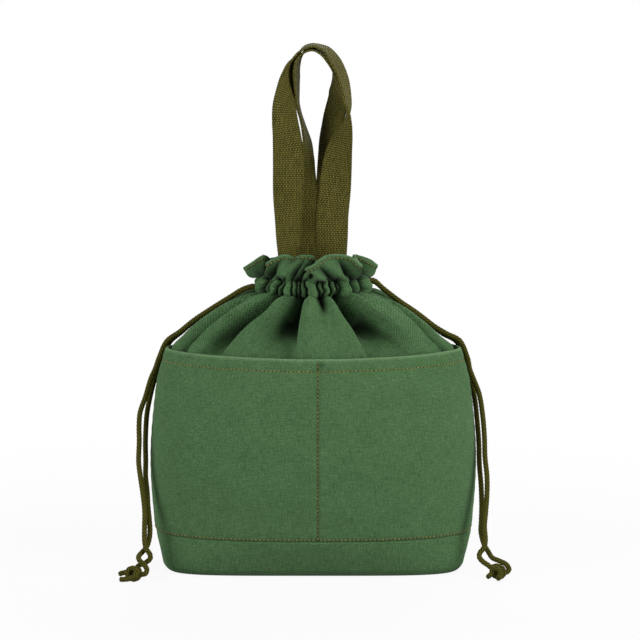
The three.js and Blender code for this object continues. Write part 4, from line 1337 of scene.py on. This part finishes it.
def webbingSection():
    # once round the webbing's section: across, out of the face, and the thread coordinate
    half, thick, corner = loopPlan["width"] / 2, loopPlan["thick"] / 2, loopPlan["corner"]
    flat = [blend(-half + corner, half - corner, k / 20) for k in range(21)]
    turns = [math.pi * k / 5 for k in range(1, 5)]
    section = [(across, thick, across) for across in flat]
    section += [(half - corner + corner * math.sin(turn), thick * math.cos(turn),
                 half - corner + corner * turn) for turn in turns]
    section += [(-across, -thick, 2 * half + across + 1.25) for across in flat]
    section += [(-half + corner - corner * math.sin(turn), -thick * math.cos(turn),
                 3 * half + corner + corner * turn) for turn in turns]
    return section


def webbingLoop(name, loop):
    plan = loopPlan
    columns = plan["columns"]
    # the webbing's turn rides along as a fourth coordinate
    stations = [Vector((*place, turn)) for place, turn in loopStations(loop)]
    line, length = evenCurve(stations, columns, 20)
    frames = []
    for k, spot in enumerate(line):
        ahead = (line[min(k + 1, columns)].xyz - line[max(k - 1, 0)].xyz).normalized()
        turn = math.radians(spot.w)
        wide = Vector((math.sin(turn), math.cos(turn), 0))
        wide = (wide - ahead * wide.dot(ahead)).normalized()
        frames.append((spot.xyz, wide, ahead.cross(wide)))
    section = webbingSection()
    around = len(section)

    def place(column, row):
        point, wide, out = frames[column]
        across, away, thread = section[row % around]
        if row == around:
            thread = section[-1][2] + 1.2
        along = length * column / columns
        # the picks turn back at the edges, which makes them beaded
        bead = plan["beading"] * math.cos(2 * math.pi * along / plan["pick"])
        bead *= ease((abs(across) - plan["beadFrom"]) / 1.2)
        return point + wide * across * (1 + bead) + out * away, (thread, along)

    bm = rolledSheet(columns, around, place, joined=True, capped=True)
    nodes = [name, name + "_left_end", name + "_right_end"]
    piece = addPiece(name + "_webbing", bm, webbing, None, "webbing", nodes)
    hinge = (0, loop["half"] * plan["setback"])
    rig.blend(piece, "bag", name, (*(c * mm for c in hinge), 0.262), (*(c * mm for c in hinge), 0.304))


for name, loop in loops.items():
    webbingLoop(name, loop)
print("webbing loops are sewn in")


# Cords inside the tunnel, one lane each, right round the neck and out at one side
tunnelCordPlan = {
    "above": 0.3, "exitSide": 45.3, "exitApart": 2.3, "bendApart": 2.6, "ringApart": 6.3, "laneApart": 5,
}
for name, side in (("left_cord_run", -1), ("right_cord_run", 1)):
    plan = tunnelCordPlan
    lane = (collar["neckLow"] + collar["neckHigh"] + side * plan["laneApart"]) / 2
    halfWidth, halfDepth = (collar[key] + cordPlan["diameter"] / 2 + plan["above"]
                            for key in ("neckHalfWidth", "neckHalfDepth"))
    leave = math.asin(plan["ringApart"] / halfDepth)
    start = (math.pi if side < 0 else 0) + leave
    ring = []
    for k in range(37):
        angle = blend(start, start + 2 * math.pi - 2 * leave, k / 36)
        ring.append(ringPlace(angle, halfWidth, halfDepth, 2)[0] + Vector((0, 0, lane)))
    # both ends leave through the tunnel's open side
    bend = (plan["exitSide"] + halfWidth) / 2
    into, out = ([Vector((side * plan["exitSide"], lead * plan["exitApart"], lane)),
                  Vector((side * bend, lead * plan["bendApart"], lane))] for lead in (side, -side))
    cordTube(name + "_braid", into + ring + out[::-1], [name])
print("cords run round the tunnel")


# Knots: the two strands of a cord wound round each other, with two short cut ends
knots = {
    "left_knot": {
        "wraps": [
            (-141.8, -59, 8), (-138.9, -60.9, 9.6), (-137.3, -63.2, 7), (-138.2, -65, 3.8),
            (-141.6, -65.6, 2.2), (-145.6, -65.2, 3.4), (-147.2, -64.2, 6.8), (-145.4, -63.6, 9.9),
            (-141.6, -64.6, 10.8), (-139.4, -67.2, 8.4), (-140.8, -68.6, 5.2), (-145, -68.6, 3.4),
            (-149.4, -68, 2.7), (-153, -67.4, 2.5),
        ],
        "second": [(-138.5, -64.6, 5.6), (-141.8, -62.6, 6), (-146.4, -60.6, 6.6), (-150.4, -59.4, 6),
                   (-154, -58.4, 4.6)],
    },
    "right_knot": {
        "wraps": [
            (141.4, -52.6, 8.6), (145.6, -51.8, 9.8), (150.2, -53, 8.2), (151.4, -55.2, 4.2),
            (148, -56.8, 1.9), (143.6, -56.6, 3.2), (141.8, -55.4, 6.8), (144.6, -57.6, 8.9),
            (148.4, -59.4, 7.2), (147.8, -61.4, 3.9), (146.8, -64, 3), (146.4, -66.4, 2.8),
        ],
        "second": [(149, -53.6, 4.9), (145.6, -54.4, 5.6), (142.4, -56.6, 5), (140, -59.2, 3.9),
                   (138.2, -62, 3)],
    },
}
knotPieces = {}
for name, knot in knots.items():
    first, _ = cordTube(name + "_wraps", [Vector(place) for place in knot["wraps"]], [name])
    second, _ = cordTube(name + "_second_end", [Vector(place) for place in knot["second"]])
    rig.replaces(second, name)
    knotPieces[name] = [first, second]

for name, (strand, route, length) in strands.items():
    knot = name.split("_")[0] + "_knot"
    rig.cord(strand, route[0], length * mm, cordPlan["diameter"] * mm, "knot", stiffness="limp", lay="loose",
            path=route, with_pieces=knotPieces[knot])
print("cords are knotted")


# Thread: one short capsule for each stitch and a near-black capsule of painted shade after it, laid along a line of
# places with their outward directions
stitchPlan = {
    "length": 2.3, "gap": 0.95, "wide": 0.95, "high": 0.7, "hole": 1.5, "holeHigh": 0.55, "lift": 0.4,
}


def stitchLine(name, places):
    plan = stitchPlan
    pitch = plan["length"] + plan["gap"]
    lengths = travelled([place for place, _ in places])
    count = int(lengths[-1] / pitch)
    middles = ((stitch + 0.5) * lengths[-1] / count for stitch in range(count))
    bm = bmesh.new()
    for k, share in evenSteps(lengths, middles):
        spot = places[k][0].lerp(places[k + 1][0], share)
        ahead = (places[k + 1][0] - places[k][0]).normalized()
        out = places[k][1].lerp(places[k + 1][1], share)
        out = (out - ahead * out.dot(ahead)).normalized()
        aside = out.cross(ahead)
        # a stitch, then a near-black capsule of painted shade at the needle hole that it goes down into
        for material, along, long, high in ((0, 0, plan["length"], plan["high"]),
                                            (1, pitch / 2, plan["hole"], plan["holeHigh"])):
            turn = Matrix((ahead * long, aside * plan["wide"], out * high)).transposed().to_4x4()
            turn.translation = spot + ahead * along
            turn = Matrix.Diagonal((mm, mm, mm, 1)) @ turn @ Matrix.Rotation(math.pi / 2, 4, "Y")
            made = bmesh.ops.create_uvsphere(bm, u_segments=6, v_segments=4, radius=0.5, matrix=turn)
            for face in {face for vert in made["verts"] for face in vert.link_faces}:
                face.material_index = material
                face.smooth = True
    piece = addPiece(name, bm, sewingThread, "bag", "webbing")
    piece.data.materials.append(needleHoleShade)


seams = {
    "hem": wall["hem"] - pocketPlan["hemStitch"],
    "base_seam": pocketPlan["lowEdge"] + pocketPlan["lowStitch"],
}
for half in (-1, 1):
    side = sideName[half]
    angles, length = pocketAngles(half)
    for seam, z in seams.items():
        places = [wallSpot(half, along, length, angles, z, stitchPlan["lift"])
                  for along in (blend(1.5, length - 1.5, k / 400) for k in range(401))]
        stitchLine(side + "_" + seam + "_stitches", places)
    # the middle seam runs down from the hem at one place across the front
    x = pocketPlan["middleSeam"]
    middle = min(range(len(angles)), key=lambda k: abs(ringPlace(angles[k], *wallRow(110))[0].x - x))
    along = length * middle / (len(angles) - 1)
    out = Vector((0, half, 0))
    places = []
    for k in range(121):
        z = blend(wall["hem"] - 1.0, pocketPlan["lowEdge"] + 1.5, k / 120)
        halfWidth, halfDepth, squareness = wallRow(z)
        point = Vector((x, half * halfDepth * (1 - (x / halfWidth) ** squareness) ** (1 / squareness), z))
        point += out * (pocketPush(half, point, z, along, length) + stitchPlan["lift"] + 0.05)
        places.append((point, out))
    stitchLine(side + "_middle_seam_stitches", places)
    # the frill is stitched along its hem, seen on its outer face
    grid = frillGrids[half]
    places = []
    for column in range(2, frillPlan["columns"] - 1):
        ahead = grid[column + 1][hemRow] - grid[column - 1][hemRow]
        up = grid[column][hemRow + 1] - grid[column][hemRow - 1]
        out = ahead.cross(up).normalized()
        places.append((grid[column][hemRow] + out * (frillPlan["cloth"] + 0.05), out))
    stitchLine(side + "_frill_stitches", places)
print("seams are stitched")

scene = bpy.context.scene
scene.view_settings.view_transform = "Standard"
with open("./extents.json", "w") as sizes:
    json.dump({"cad": [list(corner) for corner in cadBox], "visual": [list(corner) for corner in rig.bounds()]}, sizes)
